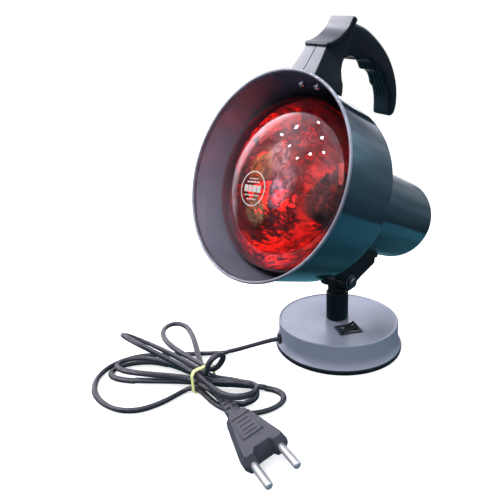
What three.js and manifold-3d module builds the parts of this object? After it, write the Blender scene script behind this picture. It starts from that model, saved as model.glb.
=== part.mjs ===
// Infrared heat therapy lamp: a red reflector bulb in a round shade, tilting on a weighted base.
// Millimetres, +Z up. The origin is the middle of the base's underside, X is the tilt axis,
// and the beam leaves towards -Y, pitched up at rest.
import * as THREE from 'three';
import { mergeVertices } from 'three/addons/utils/BufferGeometryUtils.js';
import Module from 'manifold-3d';

const wasm = await Module();
wasm.setup();

// Fits
const fitGap = 0.3;          // between two faces that touch
const overrun = 4;           // how far a cutting solid passes the face that it cuts
const mergeTolerance = 0.0001;

// Facet counts
const wideFacets = 44;
const midFacets = 30;
const smallFacets = 16;
const tinyFacets = 8;
const leadSides = 6;
const leadSteps = 18;
const filamentSteps = 24;

// Weighted base
const baseRadius = 52;
const baseHeight = 24;
const sheetWall = 1.2;
const baseBeadWidth = 1.8;
const baseBeadHeight = 0.6;
const skirtFlare = 2.8;
const skirtHeight = 8;
const coverLip = 3.3;
const coverRimHeight = 4;
const coverRimWidth = 4.3;
const coverFloor = 3;
const coverChamfer = 0.4;
const ballastSide = 6;       // between the ballast and the base's outer face
const ballastWidth = 12;
const ballastHeight = 12;
const ballastGapWidth = 16;
const bossRadius = 4;
const bossCount = 3;
const bossStartAngle = THREE.MathUtils.degToRad(-65);

// Mains cord and where it leaves the base
const cordRadius = 2.3;
const cordExitAngle = THREE.MathUtils.degToRad(-125);
const cordExitHeight = 9.2;
const clampInset = 6.5;      // from the ballast's bore to the middle of the cord clamp
const cordTail = 5.5;        // sheath left past the clamp's middle
const grommetWall = 1.1;
const grommetFlange = 1.6;
const grommetFlangeHeight = 1.2;
const clampLength = 7;
const clampWall = 2.2;
const clampFoot = 6;

// Post and tilt pivot
const pivotHeight = 61;
const postRadius = 8.6;
const shoulderDrop = 11.5;   // from the tilt axis down to the post's round shoulder
const tabThickness = 8;
const tabRadius = 8.4;
const boltRadius = 2.4;
const spigotRadius = 4.7;
const spigotBottom = 13.5;
const postBoreRadius = 3;
const postBoreTop = 44;
const postWasherRadius = 8.5;
const postWasherThickness = 1.2;
const postNutWidth = 15;
const postNutHeight = 5;
const frictionThickness = 1;
const frictionRadius = 7.4;
const boltHeadRadius = 4.6;
const boltHeadHeight = 3;
const boltWasherRadius = 6.6;
const boltWasherThickness = 1;
const boltNutWidth = 8;
const boltNutHeight = 4;
const boltTail = 1.6;

// Tilt bracket, measured from the tilt axis
const bracketHalfWidth = 13;
const lugRadius = 8;
const bracketReach = 34;
const bracketTop = 22;
const bracketNeck = 16.5;
const saddleFront = 31.5;
const saddleRear = 36.5;
const saddleSlot = 2;        // open slot between the saddle and the block below it
const tabRoofGap = 1;
const leadChannelRadius = 3.5;
const bracketScrewOffset = 12;
const bracketScrewLength = 13;

// Head: shade, rear housing and their axis
const headPitch = THREE.MathUtils.degToRad(20);
const rimForward = 118.5;    // rim plane in front of the tilt axis
const bulbSideGap = 7.1;     // from the bulb's widest ring to the shade's outer face
const shadeTaper = 1.7;
const shadeDepth = 57;
const shadeCorner = 2.2;
const rimBeadRadius = 1.65;
const beadTurn = THREE.MathUtils.degToRad(270);
const cornerTurn = THREE.MathUtils.degToRad(60);
const coneDepth = 18;
const bulbNeckGap = 2.8;
const neckLength = 9;
const housingStartGap = 1.5; // behind the end of the shade's cone
const housingRound = 5.5;
const housingStepRadius = 25;
const housingStepDepth = 1;
const housingScrewInset = 4;
const saddleDepth = 2.5;     // of the saddle under the housing's lowest line

// Reflector bulb, measured back from the rim plane
const bulbRadius = 62.5;
const bulbFront = 3;
const bulbLength = 153;      // glass only, to the end of the neck tube
const bulbNeckRadius = 32;
const bulbWall = 1.4;
const bulbTubeRadius = 11.4;
const bulbTubeTail = 8;
const capRadius = 13.3;
const capLength = 24;
const capThreadDepth = 0.8;
const capWall = 0.8;
const capThreads = 4;
const capThreadShare = 0.6;
const capSkirtShare = 0.74;
const capShoulderShare = 0.9;
const crestShares = [0.75, 1, 1.25];
const filamentRing = 12;
const filamentBack = 48;
const filamentRadius = 0.9;
const filamentGapShare = 0.12;
const stemRadius = 4;
const stemLength = 46;

// Lampholder
const holderRadius = 21;
const holderLip = 2.5;       // from the end of the glass to the holder's mouth
const holderLength = 30.5;
const boreSpare = 0.5;
const sleeveWall = 0.7;
const sleeveLength = 20;
const contactThickness = 0.8;
const contactWidth = 5;
const contactLength = 17;
const plateThickness = 1.5;
const plateRadius = 20;
const holderScrewOffset = 15;
const holderScrewLength = 11;
const spacerRadius = 4;
const spacerHeight = 2.7;

// Carrying handle, in its own plane through the head axis
const handleTurn = THREE.MathUtils.degToRad(12);
const handleFront = 6;
const handleReach = 105;
const handleSink = 0.9;      // of the foot's root below the shade's outer face
const handleRise = 48;
const hookHalfWidth = 7.4;
const plateHalfWidth = 9.3;
const footHalfWidth = 12;
const footHeight = 9;
const handleEdge = 2;
const plateEdge = 1.2;
const handleScrewBack = 17;
const handleScrewOffset = 7;
const handleScrewLength = 16;

// Screws
const smallShank = 1.5;
const smallHeadRadius = 2.75;
const smallHeadHeight = 1.5;
const driverSlotWidth = 0.8;
const driverSlotDepth = 0.7;
const baseScrewLength = 17;
const housingScrewLength = 3;
const clampScrewLength = 2.2;

// Rocker switch
const switchClearance = 1.3; // between the bezel and the ballast's bore, seen from above
const switchAngle = THREE.MathUtils.degToRad(-33);
const switchLength = 19.6;
const switchWidth = 14.4;
const bezelHeight = 1.6;
const switchBodyLength = 18.2;
const switchBodyWidth = 12.4;
const switchBodyDepth = 12.6;
const rockerLength = 15.2;
const rockerWidth = 9.4;
const rockerEndHeight = 4.7;
const rockerMiddleHeight = 3.1;
const rockerSkirt = 1.2;
const rockerPivotDrop = 1.9; // from the bezel's top down to the rocker's axis
const rockerTilt = THREE.MathUtils.degToRad(11);
const rockerPinRadius = 1;
const rockerPinLength = 11.8;
const rockerPlay = 0.8;
const terminalWidth = 4.8;
const terminalThickness = 0.8;
const terminalLength = 5;
const terminalOffset = 4.5;

// Leads inside the lamp
const leadRadius = 1;
const headLeadRadius = 1.2;
const leadLayer = 8;         // height of the base's leads above its underside
const headLeadGap = 1.5;     // from the head's leads to the housing's wall
const headLeadSpread = 4.7;
const channelSpread = 1.75;

// Sizes that follow from the ones above
const coverRadius = baseRadius + coverLip;
const ballastOuter = baseRadius - ballastSide;
const ballastInner = ballastOuter - ballastWidth;
const bossRing = (ballastInner + ballastOuter) / 2;
const clampRing = ballastInner - clampInset;
const cordEndInside = clampRing - cordTail;
const switchRing = ballastInner - switchWidth / 2 - switchClearance;
const shadeRimRadius = bulbRadius + bulbSideGap;
const shadeBackRadius = shadeRimRadius - shadeTaper;
const handleFootRadius = shadeBackRadius - handleSink;
const coneEnd = shadeDepth + coneDepth;
const neckRadius = bulbNeckRadius + bulbNeckGap + sheetWall;
const housingRadius = neckRadius + fitGap + sheetWall;
const housingStart = coneEnd + housingStartGap;
const housingScrewBack = housingStart + housingScrewInset;
const axisLift = bracketTop + saddleSlot + saddleDepth + housingRadius;
const headLeadWall = housingRadius - sheetWall - headLeadRadius - headLeadGap;
const holderFront = bulbFront + bulbLength + holderLip;
const holderBack = holderFront + holderLength;
const holderBoreDepth = capLength + boreSpare;
const housingEnd = holderBack + plateThickness + spacerHeight + sheetWall + housingStepDepth + 2 * fitGap;

// Mains cord outside the lamp: a free stretch, a tied hank of loops, then the plug
const strandPitch = 5.6;     // between neighbouring strands in the tie
const tieX = -32;
const tieY = -127;
const tieWidth = 3.4;
const tieThickness = 1.2;
const tieSlack = 1.5;        // room for the strands' own bend inside the tie
const passLength = 7;        // straight run of each strand through the tie
const loopPoints = 16;
const loopSteps = 24;
const freeSteps = 30;
const freeSides = 8;
const hankSides = 6;
const splice = [-40, -146, 3];     // where the free stretch meets the hank
const straightEnd = 4.6;     // both meet it head on for one cord diameter
const bendDelay = 1.2;
const easePitch = 5;         // points this far apart have their corners eased
const easeRounds = 2;
const tailX = -7;            // start of the plug's tail
const tailY = -131.4;
const tailZ = 9.7;
const plugTurn = THREE.MathUtils.degToRad(-15.6);
const plugRise = THREE.MathUtils.degToRad(1.9);
const plugRoll = THREE.MathUtils.degToRad(14);
const tailLength = 30;
const tailBackRadius = 3.5;
const tailFrontRadius = 5.4;
const tailSlotDepth = 1.3;
const tailSlotWidth = 2;
const tailSlots = 4;
const tailSlotPitch = 5.6;
const plugLength = 40;
const plugBackHalf = 8.5;
const plugFrontHalf = 15;
const plugHalfThickness = 6.8;
const plugEdge = 2;
const panelHeight = 0.8;
const panelFrom = 10;
const panelTo = 32;
const panelHalf = 8;
const pinSpacing = 19;
const pinRadius = 2.4;
const pinLength = 18;
const pinSleeve = 9;
const pinSocket = 6;
const pinTaper = 1;

// The free stretch's way from the base to the splice
const freeRoute = [
  [-57.4, -81.7, 3.2], [-69, -94, 2.6], [-84, -109, 2.6], [-99, -124, 2.6],
  [-109.5, -136, 2.6], [-115.5, -151, 2.6], [-115, -166, 2.6], [-108, -179, 2.6], [-95, -188, 2.6],
  [-81, -191, 2.6], [-67, -190, 2.6], [-55, -185.5, 2.6], [-46, -177, 2.6], [-41.5, -166, 2.7],
];

// Each pass through the tie as [row, column], in the cord's order; rows count up, columns towards +Y
const passes = [[0, 0], [0, 2], [0, 1], [1, 2], [2, 2], [2, 1], [2, 0], [1, 1], [1, 0]];
// The loop after each pass: side of the tie, reach, sideways bend, half width, how square its start is,
// height of its tip, lean out of level, and how late it rises
const loops = [
  { side: 1, reach: 54, bend: 23.8, halfWidth: 15.5, square: 0.69, tip: 2.6, lean: 0, late: 1 },
  { side: -1, reach: 74.7, bend: -38, halfWidth: 15, square: 1, tip: 2.6, lean: 0, late: 1 },
  { side: 1, reach: 38.6, bend: 12.9, halfWidth: 8.8, square: 0.69, tip: 4.3, lean: 0.12, late: 1.06 },
  { side: -1, reach: 94.5, bend: 28.6, halfWidth: 13.8, square: 1, tip: 9.5, lean: 0, late: 1 },
  { side: 1, reach: 15, bend: -0.8, halfWidth: 6.4, square: 1.11, tip: 38.2, lean: -0.05, late: 1.5 },
  { side: -1, reach: 88.5, bend: -12, halfWidth: 13, square: 1, tip: 20, lean: -0.7, late: 1 },
  { side: 1, reach: 47, bend: 8.8, halfWidth: 10.9, square: 0.96, tip: 18, lean: 0, late: 1 },
  { side: -1, reach: 72.5, bend: -29, halfWidth: 11, square: 1, tip: 7.8, lean: 0, late: 1 },
];

// Outlines, as shares of the handle's reach and rise
const hookShares = [
  [0.16, 0.52], [0.236, 0.47], [0.282, 0.555], [0.338, 0.6], [0.386, 0.596], [0.424, 0.645],
  [0.481, 0.685], [0.536, 0.679], [0.588, 0.626], [0.624, 0.645], [0.676, 0.643], [0.724, 0.6],
  [0.762, 0.538], [0.805, 0.515], [0.848, 0.447], [0.89, 0.351], [0.924, 0.245], [0.945, 0.198],
  [0.976, 0.204], [0.998, 0.26], [0.989, 0.383], [0.935, 0.56], [0.857, 0.713], [0.745, 0.851],
  [0.633, 0.936], [0.495, 0.987], [0.358, 1], [0.261, 0.977], [0.2, 0.955], [0.16, 0.86],
];
const stemShares = [
  [0, 0], [0.31, 0], [0.303, 0.094], [0.29, 0.177], [0.26, 0.245], [0.236, 0.333], [0.229, 0.423],
  [0.235, 0.6], [0.23, 0.82], [0.21, 0.96], [0.171, 0.989], [0.168, 0.874],
  [0.137, 0.749], [0.107, 0.654], [0.059, 0.556], [0.026, 0.515], [0.04, 0.465],
  [0.024, 0.27], [0, 0.1],
];
// Rear half of the bracket's block, as shares of its reach and of its top's height
const blockShares = [[0.31, 0.02], [0.43, 0.2], [0.956, 0.82], [1, 0.93], [0.97, 1]];
// The bulb's outline, as shares of its radius and of the glass's length
const bulbShares = [
  [0, 0], [0.24, 0.005], [0.46, 0.02], [0.7, 0.052], [0.85, 0.082], [0.94, 0.11], [0.985, 0.137],
  [1, 0.168], [0.99, 0.2], [0.965, 0.229], [0.91, 0.27], [0.85, 0.307], [0.78, 0.345], [0.72, 0.373],
  [0.65, 0.406], [0.6, 0.425], [0.56, 0.455],
];
// The neck behind the reflector, as shares of the neck's radius and of the glass's length
const neckShares = [[1, 0.503], [1, 0.667], [0.938, 0.778], [0.75, 0.895], [0.594, 0.967]];

// Shapes and solids

function toSolid(geometry) {
  const bare = geometry.clone();
  bare.deleteAttribute('normal');
  bare.deleteAttribute('uv');
  const merged = mergeVertices(bare, mergeTolerance);
  const index = merged.index.array;
  const faces = [];
  for (let i = 0; i < index.length; i += 3) {
    const [a, b, c] = [index[i], index[i + 1], index[i + 2]];
    if (a !== b && b !== c && c !== a) {
      faces.push(a, b, c);
    }
  }
  return new wasm.Manifold(new wasm.Mesh({
    numProp: 3,
    vertProperties: Float32Array.from(merged.attributes.position.array),
    triVerts: Uint32Array.from(faces),
  }));
}

function toGeometry(solid) {
  const mesh = solid.getMesh();
  const geometry = new THREE.BufferGeometry();
  geometry.setAttribute('position', new THREE.Float32BufferAttribute(mesh.vertProperties, mesh.numProp));
  geometry.setIndex(new THREE.Uint32BufferAttribute(mesh.triVerts, 1));
  geometry.computeVertexNormals();
  return geometry;
}

function shaped(body, joined, cutters) {
  let solid = toSolid(body);
  for (const other of joined) {
    solid = solid.add(toSolid(other));
  }
  for (const cutter of cutters) {
    solid = solid.subtract(toSolid(cutter));
  }
  return toGeometry(solid);
}

// A profile of [radius, height] pairs turned about Y, run so that its faces point out
function turned(profile, facets) {
  let area = 0;
  for (let i = 0; i < profile.length; i++) {
    const [r, h] = profile[i];
    const [nextR, nextH] = profile[(i + 1) % profile.length];
    area += r * nextH - nextR * h;
  }
  const ordered = area < 0 ? [...profile].reverse() : [...profile];
  if (ordered[0][0] > 0) {
    ordered.push(ordered[0]);
  }
  return new THREE.LatheGeometry(ordered.map(([r, h]) => new THREE.Vector2(r, h)), facets);
}

function alongX(geometry) {
  return geometry.rotateZ(-Math.PI / 2);
}

function alongZ(geometry) {
  return geometry.rotateX(Math.PI / 2);
}

// A round bar on the Y axis between two heights
function bar(radius, from, to, facets) {
  return new THREE.CylinderGeometry(radius, radius, to - from, facets).translate(0, (from + to) / 2, 0);
}

// A flat ring on the Y axis between two heights
function ring(inner, outer, from, to, facets) {
  return turned([[inner, from], [outer, from], [outer, to], [inner, to]], facets);
}

function block(xFrom, xTo, yFrom, yTo, zFrom, zTo) {
  const geometry = new THREE.BoxGeometry(xTo - xFrom, yTo - yFrom, zTo - zFrom);
  return geometry.translate((xFrom + xTo) / 2, (yFrom + yTo) / 2, (zFrom + zTo) / 2);
}

function outline(points) {
  return new THREE.Shape(points.map(([x, y]) => new THREE.Vector2(x, y)));
}

// An outline drawn in the plane of Y and Z, made as thick as the given width across X
const sidePlane = new THREE.Matrix4().makeBasis(
  new THREE.Vector3(0, 1, 0), new THREE.Vector3(0, 0, 1), new THREE.Vector3(1, 0, 0));

function sidePlate(points, halfWidth, edge, edgeSteps) {
  const geometry = new THREE.ExtrudeGeometry(outline(points), {
    depth: (halfWidth - edge) * 2,
    bevelEnabled: edge > 0,
    bevelThickness: edge,
    bevelSize: edge,
    bevelOffset: -edge,
    bevelSegments: edgeSteps,
  });
  return geometry.translate(0, 0, edge - halfWidth).applyMatrix4(sidePlane);
}

function polygon(radius, sides, startAngle) {
  return Array.from({ length: sides }, (_, i) => {
    const angle = startAngle + i * 2 * Math.PI / sides;
    return [radius * Math.cos(angle), radius * Math.sin(angle)];
  });
}

function hexNut(acrossFlats, holeRadius, height) {
  const shape = outline(polygon(acrossFlats / Math.sqrt(3), 6, 0));
  const hole = polygon(holeRadius, smallFacets, 0).map(([x, y]) => new THREE.Vector2(x, y));
  shape.holes.push(new THREE.Path(hole));
  return new THREE.ExtrudeGeometry(shape, { depth: height, bevelEnabled: false });
}

function tube(points, radius, sides, steps) {
  const path = new THREE.CatmullRomCurve3(points.map(([x, y, z]) => new THREE.Vector3(x, y, z)));
  return new THREE.ExtrudeGeometry(outline(polygon(radius, sides, 0)), {
    steps,
    extrudePath: path,
    bevelEnabled: false,
  });
}

// A pan-head screw on the Y axis: its head above zero, its shank below
function screw(shankRadius, length, headRadius, headHeight) {
  const body = turned([
    [0, -length], [shankRadius - driverSlotDepth / 2, -length], [shankRadius, shankRadius - length],
    [shankRadius, 0], [headRadius, 0], [headRadius, headHeight / 2],
    [headRadius - headHeight / 2, headHeight], [0, headHeight],
  ], tinyFacets);
  const slotHalf = driverSlotWidth / 2;
  const slotReach = headRadius / 2;
  const slotFloor = headHeight - driverSlotDepth;
  return shaped(body, [], [
    block(-slotReach, slotReach, slotFloor, headHeight + overrun, -slotHalf, slotHalf),
    block(-slotHalf, slotHalf, slotFloor, headHeight + overrun, -slotReach, slotReach),
  ]);
}

// A point on a circle about Z at the given height
function around(radius, angle, height) {
  return [radius * Math.cos(angle), radius * Math.sin(angle), height];
}

function finish(color, roughness, metalness) {
  return new THREE.MeshStandardMaterial({ color, roughness, metalness });
}

const greyPaint = finish(0x8d91a3, 0.5, 0.35);
const bluePaint = finish(0x26343f, 0.28, 0.35);
const blackPlastic = finish(0x15161b, 0.45, 0);
const switchPlastic = finish(0x111216, 0.35, 0);
const cordPlastic = finish(0x25272e, 0.45, 0);
const plugPlastic = finish(0x33343c, 0.5, 0);
const rubber = finish(0x101114, 0.8, 0);
const castIron = finish(0x4a4a4c, 0.8, 0.6);
const steel = finish(0xb8bac0, 0.35, 0.9);
const brass = finish(0xb89a4c, 0.35, 0.9);
const ceramic = finish(0xe8e6de, 0.4, 0);
const redGlass = finish(0x9c0f10, 0.05, 0);
const clearGlass = finish(0xdfe4e4, 0.05, 0);
const tungsten = finish(0x6f6f72, 0.5, 0.8);
const redLead = finish(0x8a2a22, 0.5, 0);
const blueLead = finish(0x2c4a7a, 0.5, 0);
const tiePlastic = finish(0xdfe88c, 0.5, 0);

const lamp = new THREE.Group();
const head = new THREE.Group();
head.position.z = pivotHeight;
head.rotation.x = -headPitch;
lamp.add(head);
const optics = new THREE.Group();
optics.position.set(0, -rimForward, axisLift);
head.add(optics);
const handleFrame = new THREE.Group();
handleFrame.rotation.y = handleTurn;
optics.add(handleFrame);

function addPiece(parent, name, geometry, material) {
  const mesh = new THREE.Mesh(geometry, material);
  mesh.name = name;
  parent.add(mesh);
  return mesh;
}

// Base

const shellBottom = coverRimHeight + fitGap;
const shellUnderside = baseHeight - sheetWall;
const ballastBottom = coverFloor + fitGap;
const ballastTop = ballastBottom + ballastHeight;
const spigotHole = spigotRadius + fitGap;
const shankHole = smallShank + fitGap;
const bossBottom = ballastTop + fitGap;

function bossPlaces() {
  return Array.from({ length: bossCount }, (_, i) => {
    return around(bossRing, bossStartAngle + i * 2 * Math.PI / bossCount, 0);
  });
}

function skirt(offset) {
  const steps = 3;
  return Array.from({ length: steps + 1 }, (_, i) => {
    const share = i / steps;
    return [baseRadius + skirtFlare * (1 - share) ** 2 - offset, shellBottom + skirtHeight * share];
  });
}

function baseShell() {
  const beadMiddle = baseRadius - baseBeadWidth / 2;
  const profile = [
    ...skirt(0), [baseRadius, baseHeight - sheetWall / 2], [baseRadius - sheetWall / 4, baseHeight],
    [beadMiddle, baseHeight + baseBeadHeight], [baseRadius - baseBeadWidth, baseHeight],
    [spigotHole, baseHeight], [spigotHole, shellUnderside],
    [baseRadius - sheetWall, shellUnderside], ...skirt(sheetWall).reverse(),
  ];
  const bosses = bossPlaces().map(([x, y]) => {
    return alongZ(bar(bossRadius, bossBottom, baseHeight - sheetWall / 2, smallFacets)).translate(x, y, 0);
  });
  const bossHoles = bossPlaces().map(([x, y]) => {
    return alongZ(bar(shankHole, bossBottom - overrun, baseScrewTip + fitGap, tinyFacets)).translate(x, y, 0);
  });
  const cordHoleRadius = cordRadius + grommetWall + 2 * fitGap;
  const cordHole = alongX(bar(cordHoleRadius, clampRing, baseRadius + overrun, smallFacets));
  cordHole.rotateZ(cordExitAngle).translate(0, 0, cordExitHeight);
  const switchHole = block(
    -switchBodyLength / 2 - fitGap, switchBodyLength / 2 + fitGap,
    -switchBodyWidth / 2 - fitGap, switchBodyWidth / 2 + fitGap,
    shellUnderside - overrun, baseHeight + overrun);
  inSwitchPlace(switchHole);
  return shaped(alongZ(turned(profile, wideFacets)), bosses, [...bossHoles, cordHole, switchHole]);
}

function baseBottomCover() {
  const rimInner = coverRadius - coverRimWidth;
  const plate = turned([
    [0, 0], [coverRadius - coverChamfer, 0], [coverRadius, coverChamfer], [coverRadius, coverRimHeight],
    [rimInner, coverRimHeight], [rimInner, coverFloor], [0, coverFloor],
  ], wideFacets);
  const holes = bossPlaces().flatMap(([x, y]) => [
    alongZ(bar(smallHeadRadius + fitGap, -overrun, coverCounterbore, smallFacets)).translate(x, y, 0),
    alongZ(bar(shankHole, 0, coverFloor + overrun, tinyFacets)).translate(x, y, 0),
  ]);
  const [clampX, clampY] = clampScrewPlace();
  const pilotEnd = coverFloor - clampScrewLength - fitGap;
  const clampPilot = alongZ(bar(shankHole, pilotEnd, coverFloor + overrun, tinyFacets));
  return shaped(alongZ(plate), [], [...holes, clampPilot.translate(clampX, clampY, 0)]);
}

const coverCounterbore = smallHeadHeight + 2 * fitGap;
const baseScrewSeat = coverCounterbore - fitGap;
const baseScrewTip = baseScrewSeat + baseScrewLength;

function ballastRing() {
  const body = alongZ(ring(ballastInner, ballastOuter, ballastBottom, ballastTop, wideFacets));
  const gap = block(
    ballastInner - overrun, ballastOuter + overrun, -ballastGapWidth / 2, ballastGapWidth / 2,
    ballastBottom - overrun, ballastTop + overrun);
  gap.rotateZ(cordExitAngle);
  const holes = bossPlaces().map(([x, y]) => {
    const hole = alongZ(bar(shankHole, ballastBottom - overrun, ballastTop + overrun, tinyFacets));
    return hole.translate(x, y, 0);
  });
  return shaped(body, [], [gap, ...holes]);
}

// Turns a piece drawn about the Z axis into the switch's place on the base
function inSwitchPlace(geometry) {
  const [x, y] = around(switchRing, switchAngle, 0);
  return geometry.rotateZ(switchAngle + Math.PI / 2).translate(x, y, 0);
}

const bezelBottom = baseHeight + fitGap;
const bezelTop = bezelBottom + bezelHeight;
const rockerAxis = bezelTop - rockerPivotDrop;
const switchFloor = bezelBottom - switchBodyDepth;

function switchBody() {
  const bezel = block(
    -switchLength / 2, switchLength / 2, -switchWidth / 2, switchWidth / 2, bezelBottom, bezelTop);
  const body = block(
    -switchBodyLength / 2, switchBodyLength / 2, -switchBodyWidth / 2, switchBodyWidth / 2,
    switchFloor, bezelBottom + bezelHeight / 2);
  const wellHalfLength = rockerLength / 2 + rockerPlay;
  const wellHalfWidth = rockerWidth / 2 + fitGap;
  const well = block(
    -wellHalfLength, wellHalfLength, -wellHalfWidth, wellHalfWidth,
    rockerAxis - rockerEndHeight, bezelTop + overrun);
  const pinHole = alongZ(bar(rockerPinRadius + fitGap, -switchBodyWidth, switchBodyWidth, smallFacets));
  pinHole.rotateX(Math.PI / 2).translate(0, 0, rockerAxis);
  return inSwitchPlace(shaped(bezel, [body], [well, pinHole]));
}

// The rocker stands with its far end up, turned about its pins; its sides are drawn on X and Z
function switchRocker() {
  const half = rockerLength / 2;
  const topHalf = half - fitGap;
  const sides = outline([
    [-half, -rockerSkirt], [-rockerPinRadius, -rockerSkirt - rockerPinRadius],
    [rockerPinRadius, -rockerSkirt - rockerPinRadius], [half, -rockerSkirt],
    [topHalf, rockerEndHeight], [0, rockerMiddleHeight], [-topHalf, rockerEndHeight],
  ]);
  const body = new THREE.ExtrudeGeometry(sides, { depth: rockerWidth, bevelEnabled: false });
  body.translate(0, 0, -rockerWidth / 2);
  const pin = alongZ(bar(rockerPinRadius, -rockerPinLength / 2, rockerPinLength / 2, tinyFacets));
  const rocker = shaped(body, [pin], []);
  return rocker.rotateX(Math.PI / 2).rotateY(-rockerTilt).translate(0, 0, rockerAxis);
}

function terminalPlace(side) {
  return [side * terminalOffset, 0, switchFloor - fitGap - terminalLength / 2];
}

function switchTerminal(side) {
  const [x, y, z] = terminalPlace(side);
  const blade = new THREE.BoxGeometry(terminalThickness, terminalWidth, terminalLength);
  return inSwitchPlace(blade.translate(x, y, z));
}

function cordGrommet() {
  const bore = cordRadius + fitGap;
  const outside = baseRadius + skirtFlare / 2;
  const inside = baseRadius - sheetWall - fitGap;
  const neck = bore + grommetWall;
  const profile = [
    [bore, inside - grommetFlangeHeight], [bore + grommetFlange + grommetWall, inside - grommetFlangeHeight],
    [bore + grommetFlange + grommetWall, inside - fitGap], [neck, inside - fitGap], [neck, outside],
    [bore, outside],
  ];
  return alongX(turned(profile, smallFacets)).rotateZ(cordExitAngle).translate(0, 0, cordExitHeight);
}

function innerCord() {
  const cord = alongX(bar(cordRadius, cordEndInside, baseRadius + skirtFlare / 2, tinyFacets));
  return cord.rotateZ(cordExitAngle).translate(0, 0, cordExitHeight);
}

const clampBoreRadius = cordRadius + fitGap;

function clampScrewPlace() {
  const [x, y] = [clampRing, clampBoreRadius + clampWall + clampFoot / 2];
  return new THREE.Vector2(x, y).rotateAround(new THREE.Vector2(), cordExitAngle).toArray();
}

// A P-shaped saddle over the cord with one foot screwed to the cover
function cordClamp() {
  const floor = coverFloor + fitGap - cordExitHeight;
  const outer = clampBoreRadius + clampWall;
  const body = block(-clampLength / 2, clampLength / 2, -outer, outer, floor, 0);
  const crown = alongX(bar(outer, -clampLength / 2, clampLength / 2, smallFacets));
  const foot = block(-clampLength / 2, clampLength / 2, 0, outer + clampFoot, floor, floor + clampWall);
  const bore = alongX(bar(clampBoreRadius, -clampLength, clampLength, smallFacets));
  const screwHole = alongZ(bar(shankHole, floor - overrun, floor + overrun, tinyFacets));
  screwHole.translate(0, outer + clampFoot / 2, 0);
  const clamp = shaped(body, [crown, foot], [bore, screwHole]);
  return clamp.translate(clampRing, 0, 0).rotateZ(cordExitAngle).translate(0, 0, cordExitHeight);
}

function clampScrew() {
  const [x, y] = clampScrewPlace();
  const under = coverFloor + clampWall + 2 * fitGap;
  const length = clampWall + clampScrewLength;
  return alongZ(screw(smallShank, length, smallHeadRadius, smallHeadHeight)).translate(x, y, under);
}

// Leads in the base, from the cord's inner end to the switch and up into the post
function baseLeads() {
  const [endX, endY] = around(cordEndInside - fitGap, cordExitAngle, 0);
  const across = new THREE.Vector2(-Math.sin(cordExitAngle), Math.cos(cordExitAngle));
  const inward = new THREE.Vector2(-Math.cos(cordExitAngle), -Math.sin(cordExitAngle));
  const spread = leadRadius + fitGap / 2;
  function start(side, distance) {
    const x = endX + across.x * spread * side + inward.x * distance;
    const y = endY + across.y * spread * side + inward.y * distance;
    return [x, y, cordExitHeight];
  }
  function beside(side, along) {
    const [x, y, z] = terminalPlace(side);
    const place = new THREE.Vector3(x + along, y, z).applyAxisAngle(
      new THREE.Vector3(0, 0, 1), switchAngle + Math.PI / 2);
    const [ringX, ringY] = around(switchRing, switchAngle, 0);
    return [place.x + ringX, place.y + ringY, z];
  }
  const reach = terminalThickness / 2 + fitGap;
  const bend = spigotRadius;
  const boreEnd = postBoreTop - spigotRadius;
  const inBore = leadRadius + 2 * fitGap;
  return {
    lead_live: [start(1, 0), start(1, bend), beside(-1, -2 * bend), beside(-1, -reach)],
    lead_switched: [
      beside(1, reach), beside(1, bend), [switchRing / 2, spigotRadius, leadLayer],
      [inBore, 0, spigotBottom], [inBore, 0, (spigotBottom + boreEnd) / 2], [inBore, 0, boreEnd],
    ],
    lead_neutral: [
      start(-1, 0), start(-1, bend), [-inBore - bend, -bend, leadLayer],
      [-inBore, 0, spigotBottom], [-inBore, 0, (spigotBottom + boreEnd) / 2], [-inBore, 0, boreEnd],
    ],
  };
}

// Post

function post() {
  const foot = baseHeight + fitGap;
  const shoulder = pivotHeight - shoulderDrop;
  const column = alongZ(bar(postRadius, foot, shoulder, midFacets));
  const spigot = alongZ(bar(spigotRadius, spigotBottom, foot + sheetWall, smallFacets));
  const tabOutline = [[-tabRadius, shoulder - sheetWall], [tabRadius, shoulder - sheetWall]];
  const arcSteps = 12;
  for (let i = 0; i <= arcSteps; i++) {
    const angle = Math.PI * i / arcSteps;
    tabOutline.push([tabRadius * Math.cos(angle), pivotHeight + tabRadius * Math.sin(angle)]);
  }
  const tab = sidePlate(tabOutline, tabThickness / 2, 0, 1);
  const bolt = alongX(bar(boltRadius + fitGap, -postRadius, postRadius, smallFacets));
  bolt.translate(0, 0, pivotHeight);
  const bore = alongZ(bar(postBoreRadius, spigotBottom - overrun, postBoreTop, smallFacets));
  return shaped(column, [spigot, tab], [bolt, bore]);
}

function postWasher() {
  const top = shellUnderside - fitGap;
  return alongZ(ring(spigotHole, postWasherRadius, top - postWasherThickness, top, smallFacets));
}

function postNut() {
  const top = shellUnderside - 2 * fitGap - postWasherThickness;
  return hexNut(postNutWidth, spigotHole, postNutHeight).translate(0, 0, top - postNutHeight);
}

// Tilt joint

const cheekInner = tabThickness / 2 + frictionThickness + 2 * fitGap;

function frictionWasher(side) {
  const from = tabThickness / 2 + fitGap;
  const washer = ring(boltRadius + fitGap, frictionRadius, from, from + frictionThickness, smallFacets);
  return alongX(side > 0 ? washer : washer.rotateX(Math.PI));
}

const boltWasherFace = bracketHalfWidth + fitGap;
const boltSeat = boltWasherFace + boltWasherThickness + fitGap;

function boltWasher(side) {
  const washer = ring(
    boltRadius + fitGap, boltWasherRadius, boltWasherFace, boltWasherFace + boltWasherThickness, smallFacets);
  return alongX(side > 0 ? washer : washer.rotateX(Math.PI));
}

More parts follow.
